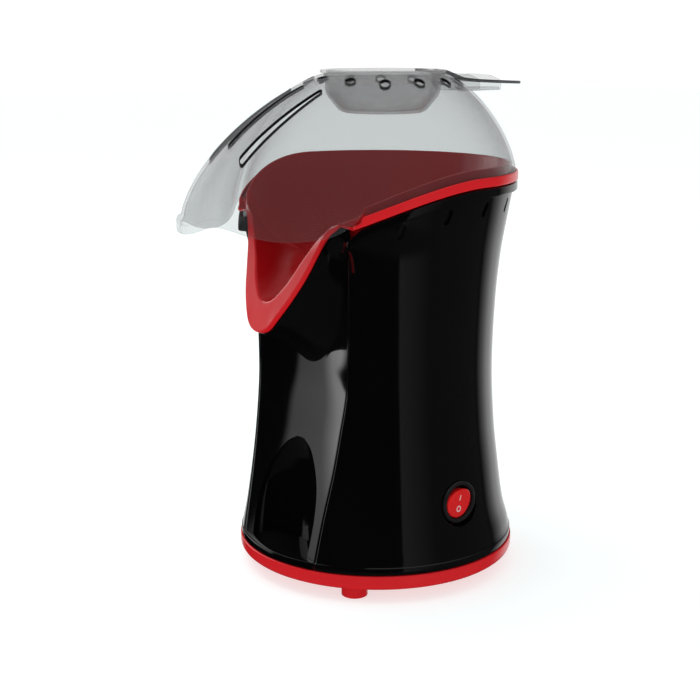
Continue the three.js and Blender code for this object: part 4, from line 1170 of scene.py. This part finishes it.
ALUMINIUM = metal("aluminium", (0.78, 0.79, 0.8), 0.28)
STEEL = metal("steel", (0.55, 0.56, 0.57), 0.32)
BRASS = metal("brass", (0.72, 0.5, 0.2), 0.3)
NICHROME = metal("nichrome", (0.32, 0.3, 0.28), 0.45)

# -------- assembly
make_base(RED_GLOSS)
make_feet(RED_GLOSS)
make_housing(BLACK_GLOSS)
# dark band behind the vents: painted shade inside the housing
vent_shade_sheet(BLACK_SATIN)
make_panel(BLACK_GLOSS)
make_funnel(RED_GLOSS)
make_lid(LID_CLEAR, LID_EDGE_SHADE, LID_CLEAR)
make_cup(CUP_SMOKE, CUP_HANDLE)
make_switch(BLACK_SATIN, LENS_RED, MARK_WHITE)

CARRIED = [  # how the names begin of the CAD nodes that keep their shape
    (ALUMINIUM, ("popping_chamber", "thermal_fuse")),
    (STEEL, ("chamber_ring", "heat_shield", "motor", "thermostat", "base_screw", "duct_screw", "ring_screw")),
    (MICA, ("insulator_ring", "heater_plate")),
    (NICHROME, ("heater_coil",)),
    (BOARD, ("rectifier_board",)),
    (BLACK_SATIN, ("fan_duct", "fan_impeller", "diode")),
    (RUBBER, ("cord_gland", "lead")),
    (BRASS, ("switch_terminal",)),
]


def dress(name, material):
    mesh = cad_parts[name].data
    mesh.materials.clear()
    mesh.materials.append(material)
    mesh.shade_smooth()
    mesh.set_sharp_from_angle(angle=math.radians(32))


for finish, starts in CARRIED:
    for node_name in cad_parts:
        if node_name.startswith(starts):
            dress(node_name, finish)

# -------- studio
CAMERA_PLACE = Vector((0.6054, -0.4982, 0.3077))
CAMERA_TURN = (math.radians(77.02), 0, math.radians(51.12))
LENS = 70.68
AMBIENT = 0.88
FLOOR_GLOW = 0.64
FLOOR_REACH = 6000
BACKDROP = 1.05  # how bright the room is to the eye
FOOT_FADE = 28  # degrees over which a soft box comes up to its full level


def make_camera():
    data = bpy.data.cameras.new("camera")
    data.lens = LENS
    data.sensor_width = 36
    camera = bpy.data.objects.new("camera", data)
    camera.location = CAMERA_PLACE
    camera.rotation_euler = CAMERA_TURN
    bpy.context.scene.collection.objects.link(camera)
    bpy.context.scene.camera = camera


def make_floor():
    floor_material = plastic("floor_pale", (0.46, 0.54, 0.54), 0.6, level=0.2, blotch=0.01)
    places = spread(-FLOOR_REACH, FLOOR_REACH, 9)
    rows = [[(x, y, 0) for x in places] for y in places]
    floor = new_object("studio_floor", *loft(rows, "open", closed=False), floor_material)
    glow = floor_material.node_tree.nodes["Principled BSDF"]
    glow.inputs["Emission Color"].default_value = (1, 1, 1, 1)
    glow.inputs["Emission Strength"].default_value = FLOOR_GLOW
    floor.visible_glossy = False


def make_top_light():
    """Large soft lamp over the front, which neither the eye nor the gloss sees."""
    data = bpy.data.lights.new("top", "AREA")
    data.size = 1.4
    data.energy = 12
    lamp = bpy.data.objects.new("top", data)
    lamp.location = (-0.5, -0.4, 1.8)
    lamp.rotation_euler = (Vector((0, 0, 0.1)) - lamp.location).to_track_quat("-Z", "Y").to_euler()
    lamp.visible_camera = False
    lamp.visible_transmission = False
    lamp.visible_glossy = False
    bpy.context.scene.collection.objects.link(lamp)


# Soft boxes that the gloss shows: bearing from the front towards +X and height over the horizon,
# each as (starts at, full at, full until, ends at) in degrees, then how bright it is, and how much
# of that is left at its lower edge.
SOFT_BOXES = [
    ((-97, -92, -45, -42), (-12, -11, 40, 60), 1.5, 0.5),
    ((-97, -92, -70, -56), (-12, -11, 40, 60), 3.8, 0.5),
    ((72.5, 73.5, 73.5, 112), (-27, -25.5, 25, 40), 0.28, 1.0),
    ((72.5, 73.5, 160, 172), (-27, -25.5, 10, 20), 0.07, 1.0),
    ((165, 187, 250, 262), (-30, -24, 8, 20), 1.1, 1.0),
    ((-400, -399, 399, 400), (28, 60, 90, 91), 0.75, 1.0),
    ((-400, -399, 399, 400), (-92, -91, -27, -25.5), 0.05, 1.0),
]


def make_world():
    """White room for the eye, dark room with soft boxes for the gloss."""
    world = bpy.data.worlds.new("studio")
    world.use_nodes = True
    tree = world.node_tree
    white = tree.nodes["Background"]
    white.inputs["Color"].default_value = (1, 1, 1, 1)
    white.inputs["Strength"].default_value = BACKDROP
    place = tree.nodes.new("ShaderNodeTexCoord")
    split = tree.nodes.new("ShaderNodeSeparateXYZ")
    tree.links.new(place.outputs["Generated"], split.inputs[0])
    x, y, z = split.outputs
    to_degrees = 180 / math.pi
    bearing = product(tree, math_node(tree, "ARCTAN2", x, product(tree, y, -1)), to_degrees)
    height = product(tree, math_node(tree, "ARCSINE", z), to_degrees)
    behind = math_node(tree, "ADD", bearing, product(tree, math_node(tree, "LESS_THAN", bearing, -100), 360))
    total = 0.0
    for bearings, heights, level, foot_share in SOFT_BOXES:
        glow = product(
            tree, ramp(tree, behind, *bearings[:2]), ramp(tree, behind, *bearings[2:], 1, 0),
            ramp(tree, height, *heights[:2]), ramp(tree, height, *heights[2:], 1, 0),
            ramp(tree, height, heights[1], heights[1] + FOOT_FADE, level * foot_share, level),
        )
        total = math_node(tree, "MAXIMUM", total, glow)
    dark = tree.nodes.new("ShaderNodeBackground")
    tree.links.new(total, dark.inputs["Strength"])
    ambient = node(tree, "ShaderNodeBackground", Strength=AMBIENT)
    path = tree.nodes.new("ShaderNodeLightPath")
    room = blend(tree, path.outputs["Is Diffuse Ray"], white.outputs["Background"],
                 ambient.outputs["Background"])
    lit = blend(tree, path.outputs["Is Glossy Ray"], room, dark.outputs["Background"])
    tree.links.new(lit, tree.nodes["World Output"].inputs["Surface"])
    bpy.context.scene.world = world
    bpy.context.scene.view_settings.view_transform = "Standard"


make_camera()
make_floor()
make_world()
make_top_light()
